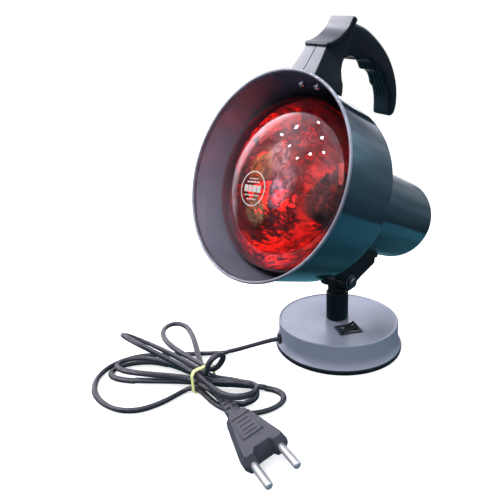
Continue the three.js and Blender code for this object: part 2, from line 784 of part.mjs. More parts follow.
function pivotBolt() {
  const tail = boltSeat + boltNutHeight + boltTail;
  const body = turned([
    [0, -tail], [boltRadius - driverSlotDepth, -tail], [boltRadius, driverSlotDepth - tail],
    [boltRadius, boltSeat], [boltHeadRadius, boltSeat], [boltHeadRadius, boltSeat + boltHeadHeight / 2],
    [boltHeadRadius - boltHeadHeight / 3, boltSeat + boltHeadHeight - driverSlotDepth / 2],
    [boltHeadRadius / 2, boltSeat + boltHeadHeight], [0, boltSeat + boltHeadHeight],
  ], smallFacets);
  return alongX(body);
}

function pivotNut() {
  const nut = hexNut(boltNutWidth, boltRadius + fitGap, boltNutHeight);
  return nut.rotateY(-Math.PI / 2).translate(-boltSeat, 0, 0);
}

function tiltBracket() {
  const arcSteps = 10;
  const lug = Array.from({ length: arcSteps + 1 }, (_, i) => {
    const angle = -Math.PI * (1 - i / arcSteps);
    return [lugRadius * Math.cos(angle), lugRadius * Math.sin(angle)];
  });
  const rear = blockShares.map(([y, z]) => [y * bracketReach, z * bracketTop]);
  const front = rear.map(([y, z]) => [-y, z]).reverse();
  const saddleBottom = bracketTop + saddleSlot;
  const neck = [
    [bracketNeck, bracketTop], [bracketNeck, saddleBottom + sheetWall],
    [-bracketNeck, saddleBottom + sheetWall], [-bracketNeck, bracketTop],
  ];
  const body = sidePlate([...lug, ...rear, ...neck, ...front], bracketHalfWidth, 0, 1);
  const seatRadius = housingRadius + fitGap;
  const saddle = block(
    -bracketHalfWidth, bracketHalfWidth, -saddleFront, saddleRear,
    saddleBottom, axisLift - housingRadius + overrun);
  const housingCut = bar(seatRadius, -bracketReach - overrun, bracketReach + overrun, wideFacets);
  housingCut.translate(0, 0, axisLift);
  const slot = block(
    -cheekInner, cheekInner, -bracketReach - overrun, bracketReach + overrun,
    -lugRadius - overrun, tabRadius + tabRoofGap);
  const boltReach = bracketHalfWidth + overrun;
  const boltHole = alongX(bar(boltRadius + fitGap, -boltReach, boltReach, smallFacets));
  const channel = alongZ(bar(leadChannelRadius, tabRadius, axisLift, smallFacets));
  const pilots = [-1, 1].map((side) => {
    const tip = bracketScrewSeat - bracketScrewLength - fitGap;
    return alongZ(bar(shankHole, tip, axisLift, tinyFacets)).translate(0, side * bracketScrewOffset, 0);
  });
  return shaped(body, [saddle], [housingCut, slot, boltHole, channel, ...pilots]);
}

// The bracket's screws go down from inside the housing; this is the height of their heads' undersides
const bracketScrewSeat = axisLift - housingRadius + sheetWall + 2 * fitGap;

function bracketScrew(side) {
  const piece = alongZ(screw(smallShank, bracketScrewLength, smallHeadRadius, smallHeadHeight));
  return piece.translate(0, side * bracketScrewOffset, bracketScrewSeat);
}

// Shade and rear housing, both turned about the head axis, Y, from the rim plane back

function shadeShell() {
  const beadMiddle = shadeRimRadius - sheetWall + rimBeadRadius;
  const beadSteps = 7;
  const bead = Array.from({ length: beadSteps + 1 }, (_, i) => {
    const angle = Math.PI + beadTurn * i / beadSteps;
    return [beadMiddle + rimBeadRadius * Math.cos(angle), rimBeadRadius * (1 + Math.sin(angle))];
  });
  const cornerShares = [0, 0.35, 0.7, 1];
  const corner = cornerShares.map((share) => {
    const angle = share * cornerTurn;
    return [
      shadeBackRadius - shadeCorner * (1 - Math.cos(angle)),
      shadeDepth - shadeCorner + shadeCorner * Math.sin(angle),
    ];
  });
  const outer = [
    ...bead, [shadeRimRadius, 2 * rimBeadRadius + fitGap], ...corner,
    [neckRadius, coneEnd], [neckRadius, coneEnd + neckLength],
  ];
  const inner = [
    [neckRadius - sheetWall, coneEnd + neckLength], [neckRadius - sheetWall, coneEnd - sheetWall / 2],
    [shadeBackRadius - shadeCorner - sheetWall / 2, shadeDepth - sheetWall],
    [shadeBackRadius - sheetWall, shadeDepth - shadeCorner - sheetWall],
    [shadeRimRadius - sheetWall, rimBeadRadius * 2],
  ];
  const holes = [-1, 1].map((side) => inHandleTurn(handleScrewHole(side, handleFootRadius - overrun)));
  const neckHoles = housingScrewSides.map((side) => housingScrewHole(side));
  return shaped(turned([...outer, ...inner], wideFacets), [], [...holes, ...neckHoles]);
}

const housingScrewSides = [-1, 1];

function housingScrewHole(side) {
  const hole = alongZ(bar(shankHole, neckRadius - overrun, housingRadius + overrun, tinyFacets));
  return hole.rotateY(side > 0 ? 0 : Math.PI).translate(0, housingScrewBack, 0);
}

function housingScrew(side) {
  const piece = alongZ(screw(smallShank, housingScrewLength, smallHeadRadius, smallHeadHeight));
  piece.translate(0, 0, housingRadius + fitGap);
  return piece.rotateY(side > 0 ? 0 : Math.PI).translate(0, housingScrewBack, 0);
}

function rearHousing() {
  const inner = housingRadius - sheetWall;
  const roundSteps = 4;
  const rounded = Array.from({ length: roundSteps + 1 }, (_, i) => {
    const angle = i / roundSteps * Math.PI / 2;
    return [
      housingRadius - housingRound * (1 - Math.cos(angle)),
      housingEnd - housingRound * (1 - Math.sin(angle)),
    ];
  });
  const innerRound = housingRound - sheetWall;
  const roundedInside = rounded.map((_, i) => {
    const angle = i / roundSteps * Math.PI / 2;
    return [
      inner - innerRound * (1 - Math.cos(angle)),
      housingEnd - sheetWall - innerRound * (1 - Math.sin(angle)),
    ];
  });
  const step = housingStepDepth;
  const profile = [
    [housingRadius, housingStart], ...rounded, [housingStepRadius, housingEnd],
    [housingStepRadius - step, housingEnd - step], [0, housingEnd - step], [0, housingEnd - step - sheetWall],
    [housingStepRadius - step - sheetWall / 2, housingEnd - step - sheetWall],
    [housingStepRadius - sheetWall / 2, housingEnd - sheetWall], ...roundedInside.reverse(),
    [inner, housingStart],
  ];
  const downHoles = [-bracketScrewOffset, bracketScrewOffset].map((offset) => {
    return alongZ(bar(shankHole, -housingRadius - overrun, overrun - housingRadius, tinyFacets))
      .translate(0, rimForward + offset, 0);
  });
  const leadHole = alongZ(
    bar(leadChannelRadius, -housingRadius - overrun, overrun - housingRadius, smallFacets));
  leadHole.translate(0, rimForward, 0);
  const endHoles = [-1, 1].map((side) => {
    return bar(shankHole, housingEnd - overrun, housingEnd + overrun, tinyFacets)
      .translate(side * holderScrewOffset, 0, 0);
  });
  const sideHoles = housingScrewSides.map((side) => housingScrewHole(side));
  return shaped(turned(profile, wideFacets), [], [...downHoles, leadHole, ...endHoles, ...sideHoles]);
}

// Bulb

const bulbTubeEnd = bulbFront + bulbLength + bulbTubeTail;

function bulbGlass() {
  const neckStart = bulbShares.length - 1;
  const outside = [
    ...bulbShares.map(([r, y]) => [r * bulbRadius, bulbFront + y * bulbLength]),
    ...neckShares.map(([r, y]) => [r * bulbNeckRadius, bulbFront + y * bulbLength]),
    [bulbTubeRadius, bulbFront + bulbLength], [bulbTubeRadius, bulbTubeEnd],
  ];
  // The inner face lies one wall in from the outer one, with half as many points in the reflector
  const places = outside.map((_, i) => i).filter((i) => i < 2 || i % 2 === 0 || i > neckStart);
  const inside = places.map((i) => {
    const [r, y] = outside[i];
    const [r0, y0] = outside[Math.max(i - 1, 0)];
    const [r1, y1] = outside[Math.min(i + 1, outside.length - 1)];
    const length = Math.hypot(r1 - r0, y1 - y0);
    const inwardR = i === 0 ? 0 : (y1 - y0) / length;
    const inwardY = i === 0 ? 1 : (r1 - r0) / length;
    return [Math.max(r - bulbWall * inwardR, 0), y + bulbWall * inwardY];
  });
  inside[inside.length - 1][1] = bulbTubeEnd;
  return turned([...outside, ...inside.reverse()], midFacets);
}

const capFront = bulbFront + bulbLength + fitGap;

function bulbCap() {
  const threadPitch = capLength * capThreadShare / capThreads;
  const outside = [[capRadius - capThreadDepth, capFront]];
  for (let i = 0; i < capThreads; i++) {
    const [rise, crest, fall] = crestShares.map((share) => capFront + (i + share) * threadPitch);
    outside.push([capRadius, rise], [capRadius, crest], [capRadius - capThreadDepth, fall]);
  }
  const skirtEnd = capFront + capLength * capSkirtShare;
  const contactRadius = capRadius / 3;
  outside.push([capRadius - capThreadDepth, skirtEnd]);
  outside.push([contactRadius * 2, capFront + capLength * capShoulderShare]);
  outside.push([contactRadius, capFront + capLength - capWall]);
  outside.push([contactRadius - capWall, capFront + capLength]);
  outside.push([0, capFront + capLength]);
  const bore = bulbTubeRadius + fitGap;
  const inside = [[0, skirtEnd - capWall], [bore, skirtEnd - capWall], [bore, capFront]];
  return turned([...outside, ...inside], smallFacets);
}

// The glass stem that carries the filament's two supports, fused into the bulb's neck tube
function bulbStem() {
  const back = bulbTubeEnd - capWall;
  const flare = bulbTubeRadius - bulbWall - fitGap;
  const front = back - stemLength;
  return turned([
    [0, back], [flare, back], [flare, back - capWall], [stemRadius, back - stemRadius * 2],
    [stemRadius, front + stemRadius], [stemRadius / 2, front], [0, front],
  ], smallFacets);
}

function bulbFilament() {
  const stemFront = bulbTubeEnd - capWall - stemLength - fitGap;
  const legSpread = stemRadius / 2;
  const arcSteps = 8;
  const points = [[legSpread, stemFront, 0], [legSpread * 2, (stemFront + filamentBack) / 2, 0]];
  for (let i = 0; i <= arcSteps; i++) {
    const angle = 2 * Math.PI * (filamentGapShare + (1 - 2 * filamentGapShare) * i / arcSteps);
    points.push([filamentRing * Math.cos(angle), filamentBack, filamentRing * Math.sin(angle)]);
  }
  points.push([0, (stemFront + filamentBack) / 2, -legSpread * 2], [-legSpread, stemFront, 0]);
  return tube(points, filamentRadius, leadSides, filamentSteps);
}

// Lampholder

const sleeveInner = capRadius + fitGap;
const holderBore = sleeveInner + sleeveWall + fitGap;
const boreFloor = holderFront + holderBoreDepth;

function lampholderBody() {
  const edge = (holderRadius - holderBore) / 4;
  const profile = [
    [holderBore, holderFront], [holderRadius - edge, holderFront], [holderRadius, holderFront + edge],
    [holderRadius, holderBack - edge], [holderRadius - edge, holderBack], [0, holderBack], [0, boreFloor],
    [holderBore, boreFloor],
  ];
  const pilots = [-1, 1].map((side) => {
    return bar(shankHole, holderScrewTip - fitGap, holderBack + overrun, tinyFacets)
      .translate(side * holderScrewOffset, 0, 0);
  });
  return shaped(turned(profile, midFacets), [], pilots);
}

function lampholderSleeve() {
  const back = boreFloor - contactThickness - 2 * fitGap;
  return ring(sleeveInner, sleeveInner + sleeveWall, back - sleeveLength, back, midFacets);
}

function lampholderContact() {
  const back = boreFloor - fitGap;
  return block(
    -contactLength / 2, contactLength / 2, back - contactThickness, back,
    -contactWidth / 2, contactWidth / 2);
}

const plateBack = holderBack + fitGap + plateThickness;
const housingEndInside = housingEnd - housingStepDepth - sheetWall;

function holderPlate() {
  const plate = bar(plateRadius, holderBack + fitGap, plateBack, midFacets);
  const spacers = [-1, 1].map((side) => {
    return bar(spacerRadius, plateBack - plateThickness / 2, housingEndInside - fitGap, smallFacets)
      .translate(side * holderScrewOffset, 0, 0);
  });
  const holes = [-1, 1].map((side) => {
    return bar(shankHole, holderBack - overrun, housingEnd + overrun, tinyFacets)
      .translate(side * holderScrewOffset, 0, 0);
  });
  return shaped(plate, spacers, holes);
}

const holderScrewSeat = housingEnd - housingStepDepth + fitGap;
const holderScrewTip = holderScrewSeat - holderScrewLength;

function holderScrew(side) {
  const piece = screw(smallShank, holderScrewLength, smallHeadRadius, smallHeadHeight);
  return piece.translate(side * holderScrewOffset, holderScrewSeat, 0);
}

// Leads of the head: from the holder's back corners, along the housing's floor, down into the bracket
function headLead(side) {
  const top = -holderRadius - headLeadRadius - fitGap;
  const back = holderBack - holderBoreDepth / 3;
  const spread = side * headLeadSpread;
  const down = side * channelSpread;
  const mouth = rimForward;
  const bend = housingRound;
  const points = [
    [spread, back, top], [spread, back, (top - headLeadWall) / 2 - fitGap],
    [spread, back - bend, -headLeadWall],
    [spread, mouth + bracketScrewOffset + bend, -headLeadWall],
    [spread, mouth + bracketScrewOffset, -headLeadWall],
    [(spread + down) / 2, mouth + bend, -headLeadWall],
    [down, mouth + headLeadRadius / 2, -headLeadWall - headLeadRadius],
    [down, mouth, -housingRadius - headLeadRadius],
    [down, mouth, tabRadius + tabRoofGap + overrun - axisLift],
  ];
  return tube(points, headLeadRadius, leadSides, leadSteps);
}

// Carrying handle, drawn about its own plane and turned round the head axis

function inHandleTurn(geometry) {
  return geometry.rotateY(handleTurn);
}

function handleScrewHole(side, from) {
  const tip = handleScrewSeat + handleScrewLength + fitGap;
  const hole = alongZ(bar(shankHole, from, tip, tinyFacets));
  return hole.translate(side * handleScrewOffset, handleScrewBack, 0);
}

// Radius at which the handle screws' heads sit, inside the shade's wall
const handleScrewSeat = Math.sqrt(
  (shadeRimRadius - sheetWall) ** 2 - (handleScrewOffset + smallHeadRadius) ** 2) - 3 * fitGap;

function handle() {
  const placed = ([a, r]) => [handleFront + a * handleReach, handleFootRadius + r * handleRise];
  const stem = sidePlate(stemShares.map(placed), plateHalfWidth, plateEdge, 2);
  const hook = sidePlate(hookShares.map(placed), hookHalfWidth, handleEdge, 3);
  const stemRear = handleFront + stemShares[1][0] * handleReach;
  const footEdge = plateEdge;
  const foot = sidePlate([
    [handleFront, handleFootRadius], [stemRear, handleFootRadius],
    [stemRear - footEdge, handleFootRadius + footHeight / 2],
    [stemRear - footHeight, handleFootRadius + footHeight],
    [handleFront + footEdge, handleFootRadius + footHeight], [handleFront, handleFootRadius + footHeight / 2],
  ], footHalfWidth, footEdge, 2);
  const wall = turned([
    [0, -overrun], [shadeRimRadius + fitGap, -overrun], [shadeRimRadius + fitGap, 0],
    [shadeBackRadius + fitGap, shadeDepth], [0, shadeDepth],
  ], wideFacets);
  const holes = [-1, 1].map((side) => handleScrewHole(side, handleFootRadius - overrun));
  return shaped(stem, [hook, foot], [wall, ...holes]);
}

function handleScrew(side) {
  const piece = screw(smallShank, handleScrewLength, smallHeadRadius, smallHeadHeight).rotateX(-Math.PI / 2);
  return piece.translate(side * handleScrewOffset, handleScrewBack, handleScrewSeat);
}

// Mains cord outside the lamp

const lowestPass = tieThickness + 2 * fitGap + cordRadius;
const tieColumns = 3;

function passPlace([row, column]) {
  const sideways = (column - (tieColumns - 1) / 2) * strandPitch;
  return [tieY + sideways, lowestPass + row * strandPitch];
}

// Largest value of sin(a) * ((1 - cos(a)) / 2) ** square, so that a loop is as wide as it is told
function widest(square) {
  const cosine = -square / (1 + square);
  return Math.sqrt(1 - cosine * cosine) * ((1 - cosine) / 2) ** square;
}

function loopPath(loop, index) {
  const [fromY, fromZ] = passPlace(passes[index]);
  const [toY, toZ] = passPlace(passes[index + 1]);
  const turn = toY > fromY ? -1 : 1;
  return Array.from({ length: loopPoints + 1 }, (_, i) => {
    const share = i / loopPoints;
    const angle = 2 * Math.PI * share;
    const out = (1 - Math.cos(angle)) / 2;
    const across = share * share * (3 - 2 * share);
    const wave = turn * loop.halfWidth * Math.sin(angle) * out ** loop.square / widest(loop.square);
    return [
      tieX + loop.side * (passLength / 2 + loop.reach * out),
      fromY + (toY - fromY) * across + loop.bend * out ** bendDelay + wave * Math.cos(loop.lean),
      fromZ + (toZ - fromZ) * across + (loop.tip - (fromZ + toZ) / 2) * out ** loop.late
        + wave * Math.sin(loop.lean),
    ];
  });
}

function freePath() {
  const start = around(baseRadius + skirtFlare / 2 + fitGap, cordExitAngle, cordExitHeight);
  const straight = around(baseRadius + skirtFlare / 2 + fitGap + straightEnd, cordExitAngle, cordExitHeight);
  const [x, y, z] = splice;
  return [start, straight, ...freeRoute, [x, y - 2 * straightEnd, z], [x, y - straightEnd, z], splice];
}

function hankPath() {
  const [x, y, z] = splice;
  const [firstY, firstZ] = passPlace(passes[0]);
  const [lastY, lastZ] = passPlace(passes[passes.length - 1]);
  const entry = tieX - passLength / 2;
  const points = [
    [x, y + fitGap, z], [x, y + straightEnd, z],
    [x + strandPitch / 6, firstY - strandPitch, (z + firstZ) / 2],
    [entry - strandPitch / 3, firstY - strandPitch / 4, firstZ], [entry, firstY, firstZ],
  ];
  loops.forEach((loop, index) => points.push(...loopPath(loop, index)));
  const tail = plugPoint(-straightEnd - fitGap, 0, 0);
  const end = plugPoint(-fitGap, 0, 0);
  const exit = tieX + passLength / 2;
  points.push([exit, lastY, lastZ]);
  points.push([(exit + tail[0]) / 2, (lastY + tail[1]) / 2 - strandPitch / 4, (lastZ + tail[2]) / 2]);
  points.push(tail, end);
  return eased(points);
}

// The same route with its corners eased, as a stiff cord takes them; both ends stay
function eased(points) {
  const path = new THREE.CatmullRomCurve3(points.map(([x, y, z]) => new THREE.Vector3(x, y, z)));
  let route = path.getSpacedPoints(Math.round(path.getLength() / easePitch));
  for (let round = 0; round < easeRounds; round++) {
    route = route.map((point, i) => {
      if (i < 2 || i > route.length - 3) {
        return point;
      }
      return point.clone().multiplyScalar(2).add(route[i - 1]).add(route[i + 1]).divideScalar(4);
    });
  }
  return route.map((point) => point.toArray());
}

// A point of the plug's own frame: X towards the pins, from the start of the tail
const plugPlace = new THREE.Matrix4()
  .makeTranslation(tailX, tailY, tailZ)
  .multiply(new THREE.Matrix4().makeRotationZ(plugTurn))
  .multiply(new THREE.Matrix4().makeRotationY(-plugRise))
  .multiply(new THREE.Matrix4().makeRotationX(plugRoll));

function plugPoint(x, y, z) {
  return new THREE.Vector3(x, y, z).applyMatrix4(plugPlace).toArray();
}

function atPlug(geometry) {
  return geometry.applyMatrix4(plugPlace);
}

function cordTie() {
  const innerY = (tieColumns - 1) / 2 * strandPitch + cordRadius + tieSlack + fitGap;
  const innerTop = lowestPass + (tieColumns - 1) * strandPitch + cordRadius + tieSlack + fitGap;
  const band = outline(rounded(
    tieY - innerY - tieThickness, tieY + innerY + tieThickness,
    fitGap, innerTop + tieThickness, cordRadius + tieThickness));
  const hole = rounded(tieY - innerY, tieY + innerY, fitGap + tieThickness, innerTop, cordRadius);
  band.holes.push(new THREE.Path(hole.map(([x, y]) => new THREE.Vector2(x, y))));
  const geometry = new THREE.ExtrudeGeometry(band, { depth: tieWidth, bevelEnabled: false });
  return geometry.translate(0, 0, -tieWidth / 2).applyMatrix4(sidePlane).translate(tieX, 0, 0);
}

function rounded(xFrom, xTo, yFrom, yTo, radius) {
  const corners = [[xTo - radius, yTo - radius], [xFrom + radius, yTo - radius],
    [xFrom + radius, yFrom + radius], [xTo - radius, yFrom + radius]];
  const steps = 3;
  return corners.flatMap(([x, y], corner) => Array.from({ length: steps + 1 }, (_, i) => {
    const angle = (corner + i / steps) * Math.PI / 2;
    return [x + radius * Math.cos(angle), y + radius * Math.sin(angle)];
  }));
}

function plugStrainRelief() {
  const body = alongX(turned([
    [0, 0], [tailBackRadius, 0], [tailFrontRadius, tailLength], [0, tailLength],
  ], smallFacets));
  const reach = tailFrontRadius * 2;
  const slots = Array.from({ length: tailSlots }, (_, i) => {
    const from = tailSlotPitch * (i + 1) - tailSlotWidth / 2;
    const radius = tailBackRadius + (tailFrontRadius - tailBackRadius) * from / tailLength;
    const depth = radius - tailSlotDepth;
    const [low, high] = i % 2 ? [-reach, -depth] : [depth, reach];
    return block(from, from + tailSlotWidth, -reach, reach, low, high);
  });
  return atPlug(shaped(body, [], slots));
}

function plugBody() {
  const start = tailLength + fitGap;
  const end = start + plugLength;
  const shape = outline([
    [start, -plugBackHalf], [end - plugEdge, -plugFrontHalf], [end, -plugFrontHalf + plugEdge],
    [end, plugFrontHalf - plugEdge], [end - plugEdge, plugFrontHalf], [start, plugBackHalf],
  ]);
  const body = new THREE.ExtrudeGeometry(shape, {
    depth: (plugHalfThickness - plugEdge) * 2,
    bevelThickness: plugEdge,
    bevelSize: plugEdge,
    bevelOffset: -plugEdge,
    bevelSegments: 3,
  });
  body.translate(0, 0, plugEdge - plugHalfThickness);
  const top = plugHalfThickness + panelHeight;
  const panel = block(start + panelFrom, start + panelTo, -panelHalf, panelHalf, 0, top);
  const sockets = [-1, 1].map((side) => {
    const bore = bar(pinRadius + fitGap, end - pinSocket, end + overrun, smallFacets);
    return alongX(bore).translate(0, side * pinSpacing / 2, 0);
  });
  return atPlug(shaped(body, [panel], sockets));
}

function plugPin(side) {
  const from = tailLength + fitGap + plugLength - pinSocket + fitGap;
  const end = tailLength + fitGap + plugLength + pinLength;
  const pin = alongX(turned([
    [0, from], [pinRadius, from], [pinRadius, end - pinTaper], [pinRadius - pinTaper, end], [0, end],
  ], smallFacets));
  return atPlug(pin.translate(0, side * pinSpacing / 2, 0));
}

// Least gap between parts of the cord that lie more than a few diameters apart along it
function leastGap(paths) {
  const samples = [];
  let travelled = 0;
  for (const [name, points] of paths) {
    const path = new THREE.CatmullRomCurve3(points.map(([x, y, z]) => new THREE.Vector3(x, y, z)));
    const length = path.getLength();
    const count = Math.ceil(length / cordRadius);
    path.getSpacedPoints(count).forEach((point, i) => {
      samples.push({ name, point, along: travelled + length * i / count });
    });
    travelled += length;
  }
  let least = { gap: Infinity };
  for (let i = 0; i < samples.length; i++) {
    for (let j = i + 1; j < samples.length; j++) {
      const a = samples[i];
      const b = samples[j];
      if (b.along - a.along > cordRadius * 8) {
        const gap = a.point.distanceTo(b.point) - 2 * cordRadius;
        if (gap < least.gap) {
          least = { gap, from: a, to: b };
        }
      }
    }
  }
  return { ...least, travelled };
}

// Assembly

addPiece(lamp, 'base_shell', baseShell(), greyPaint);
addPiece(lamp, 'base_bottom_cover', baseBottomCover(), blackPlastic);
addPiece(lamp, 'ballast_ring', ballastRing(), castIron);
bossPlaces().forEach(([x, y], i) => {
  const piece = alongZ(screw(smallShank, baseScrewLength, smallHeadRadius, smallHeadHeight)).rotateX(Math.PI);
  piece.translate(x, y, baseScrewSeat);
  addPiece(lamp, `base_screw_${i + 1}`, piece, steel);
});
addPiece(lamp, 'cord_grommet', cordGrommet(), rubber);
addPiece(lamp, 'inner_cord', innerCord(), cordPlastic);
addPiece(lamp, 'cord_clamp', cordClamp(), blackPlastic);
addPiece(lamp, 'cord_clamp_screw', clampScrew(), steel);
addPiece(lamp, 'switch_body', switchBody(), switchPlastic);
addPiece(lamp, 'switch_terminal_in', switchTerminal(-1), brass);
addPiece(lamp, 'switch_terminal_out', switchTerminal(1), brass);
addPiece(lamp, 'switch_rocker', inSwitchPlace(switchRocker()), switchPlastic);
const leadPaths = baseLeads();
addPiece(lamp, 'lead_live', tube(leadPaths.lead_live, leadRadius, leadSides, leadSteps), redLead);
addPiece(lamp, 'lead_switched', tube(leadPaths.lead_switched, leadRadius, leadSides, leadSteps), redLead);
addPiece(lamp, 'lead_neutral', tube(leadPaths.lead_neutral, leadRadius, leadSides, leadSteps), blueLead);
addPiece(lamp, 'post', post(), blackPlastic);
addPiece(lamp, 'post_washer', postWasher(), steel);
addPiece(lamp, 'post_nut', postNut(), steel);

addPiece(head, 'friction_washer_left', frictionWasher(-1), rubber);
addPiece(head, 'friction_washer_right', frictionWasher(1), rubber);
addPiece(head, 'pivot_bolt', pivotBolt(), steel);
addPiece(head, 'bolt_washer_right', boltWasher(1), steel);
addPiece(head, 'bolt_washer_left', boltWasher(-1), steel);
addPiece(head, 'pivot_nut', pivotNut(), steel);
addPiece(head, 'tilt_bracket', tiltBracket(), blackPlastic);
addPiece(head, 'bracket_screw_front', bracketScrew(-1), steel);
addPiece(head, 'bracket_screw_rear', bracketScrew(1), steel);

addPiece(optics, 'shade_shell', shadeShell(), bluePaint);
addPiece(optics, 'rear_housing', rearHousing(), bluePaint);
addPiece(optics, 'housing_screw_top', housingScrew(1), steel);
addPiece(optics, 'housing_screw_bottom', housingScrew(-1), steel);
addPiece(optics, 'bulb_glass', bulbGlass(), redGlass);
addPiece(optics, 'bulb_cap', bulbCap(), brass);
addPiece(optics, 'bulb_stem', bulbStem(), clearGlass);
addPiece(optics, 'bulb_filament', bulbFilament(), tungsten);
addPiece(optics, 'lampholder_body', lampholderBody(), ceramic);
addPiece(optics, 'lampholder_sleeve', lampholderSleeve(), brass);
addPiece(optics, 'lampholder_contact', lampholderContact(), brass);
addPiece(optics, 'holder_plate', holderPlate(), steel);
addPiece(optics, 'holder_screw_left', holderScrew(-1), steel);
addPiece(optics, 'holder_screw_right', holderScrew(1), steel);
addPiece(optics, 'head_lead_left', headLead(-1), redLead);
addPiece(optics, 'head_lead_right', headLead(1), blueLead);

addPiece(handleFrame, 'handle', handle(), blackPlastic);
addPiece(handleFrame, 'handle_screw_left', handleScrew(-1), steel);
addPiece(handleFrame, 'handle_screw_right', handleScrew(1), steel);

addPiece(lamp, 'cord_free', tube(freePath(), cordRadius, freeSides, freeSteps), cordPlastic);
const hankSteps = loopSteps * (loops.length + 1);
addPiece(lamp, 'cord_hank', tube(hankPath(), cordRadius, hankSides, hankSteps), cordPlastic);
addPiece(lamp, 'cord_tie', cordTie(), tiePlastic);
addPiece(lamp, 'plug_strain_relief', plugStrainRelief(), plugPlastic);
addPiece(lamp, 'plug_body', plugBody(), plugPlastic);
addPiece(lamp, 'plug_pin_1', plugPin(-1), steel);
addPiece(lamp, 'plug_pin_2', plugPin(1), steel);

const checked = leastGap([['free', freePath()], ['hank', hankPath()]]);
console.log(`cord ${checked.travelled.toFixed(0)} mm, least gap ${checked.gap.toFixed(2)} mm`);

export default lamp;
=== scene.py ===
# Infrared heat therapy lamp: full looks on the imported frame. Lengths are typed in millimetres.
from math import cos, exp, hypot, pi, radians, sin, sqrt

import bmesh
import bpy
from mathutils import Matrix, Vector


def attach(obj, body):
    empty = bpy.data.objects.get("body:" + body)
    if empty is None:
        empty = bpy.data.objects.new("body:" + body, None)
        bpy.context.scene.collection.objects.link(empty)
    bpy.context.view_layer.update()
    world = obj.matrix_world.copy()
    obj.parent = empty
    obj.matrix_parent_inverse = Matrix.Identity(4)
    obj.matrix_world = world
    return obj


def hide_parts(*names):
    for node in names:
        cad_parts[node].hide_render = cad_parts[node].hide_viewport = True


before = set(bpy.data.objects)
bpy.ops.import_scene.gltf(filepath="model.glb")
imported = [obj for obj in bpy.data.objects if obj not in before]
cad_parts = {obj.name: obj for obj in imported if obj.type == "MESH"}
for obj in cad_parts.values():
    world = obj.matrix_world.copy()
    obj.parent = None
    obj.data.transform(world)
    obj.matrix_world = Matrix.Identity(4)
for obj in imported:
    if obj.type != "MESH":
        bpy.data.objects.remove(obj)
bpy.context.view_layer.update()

MM = 0.001
WIDE, ROUND, SMALL = 144, 64, 32  # sides of a large, a middling and a small turned piece


def shift(x=0.0, y=0.0, z=0.0):
    return Matrix.Translation((x, y, z))


def turned(degrees, axis):
    return Matrix.Rotation(radians(degrees), 4, axis)


def new_object(name, data):
    """The data as an object in the scene. A bmesh is used up."""
    if isinstance(data, bmesh.types.BMesh):
        mesh = bpy.data.meshes.new(name)
        data.to_mesh(mesh)
        data.free()
        data = mesh
    made = bpy.data.objects.new(name, data)
    bpy.context.collection.objects.link(made)
    return made


# Where things are drawn. A turned piece has its axis along Y, which UPRIGHT and ACROSS lay along Z and X.
STILL = Matrix.Identity(4)
UPRIGHT = turned(90, "X")
ACROSS = turned(-90, "Z")
PIVOT = 61.0
HEAD = shift(z=PIVOT) @ turned(-20, "X")
OPTICS = HEAD @ shift(y=-118.5, z=64)
HANDLE = OPTICS @ turned(12, "Y")
SWITCH = turned(-33, "Z") @ shift(25.5) @ turned(90, "Z")
ROCKER = SWITCH @ shift(z=24) @ turned(-11, "Y")
EXIT_ANGLE, EXIT_HEIGHT = -125, 9.2
EXIT = turned(EXIT_ANGLE, "Z") @ shift(z=EXIT_HEIGHT) @ ACROSS
PLUG = shift(-7, -131.4, 9.7) @ turned(-15.6, "Z") @ turned(-1.9, "Y") @ turned(14, "X")


# ---- Camera, at the photograph's place

SENSOR, PHOTO_WIDTH, PHOTO_FOCAL = 36, 500, 430
camera = new_object("camera", bpy.data.cameras.new("camera"))
camera.data.sensor_width = SENSOR
camera.data.lens = PHOTO_FOCAL / PHOTO_WIDTH * SENSOR
camera.data.clip_start = 0.01
right, up, forward = (0.6823, 0.7289, -0.0564), (-0.1842, 0.2461, 0.9516), (-0.7075, 0.6389, -0.3022)
turn = Matrix((right, up, [-v for v in forward])).transposed().to_4x4()
camera.matrix_world = shift(0.2081, -0.2880, 0.2018) @ turn
bpy.context.scene.camera = camera


# ---- Mesh tools

def finish_mesh(name, bm, place=STILL, angle=40):
    """A smooth piece in metres, with its edges sharp from this angle on."""
    bmesh.ops.recalc_face_normals(bm, faces=bm.faces)
    bm.transform(Matrix.Scale(MM, 4) @ place)
    piece = new_object(name, bm)
    for polygon in piece.data.polygons:
        polygon.use_smooth = True
    piece.data.set_sharp_from_angle(angle=radians(angle))
    return piece


def lathe(profile, count, closed=False):
    """A profile of (radius, height) turned about Y."""
    bm = bmesh.new()
    angles = [2 * pi * i / count for i in range(count)]
    rings = []
    for radius, height in profile:
        if radius < 1e-6:
            rings.append([bm.verts.new((0, height, 0))])
        else:
            rings.append([bm.verts.new((radius * sin(a), height, radius * cos(a))) for a in angles])
    for low, high in zip(rings, rings[1:] + rings[:1] if closed else rings[1:]):
        for i in range(count):
            j = (i + 1) % count
            corners = [low[i % len(low)], low[j % len(low)], high[j % len(high)], high[i % len(high)]]
            unique = list(dict.fromkeys(corners))
            if len(unique) > 2:
                bm.faces.new(unique)
    return bm


def placed(bm, *places):
    for place in places:
        bm.transform(place)
    return bm


def rod(radius, low, high, place=STILL, count=SMALL):
    """A plain cylinder, to cut with."""
    return placed(lathe([(0, low), (radius, low), (radius, high), (0, high)], count), place)


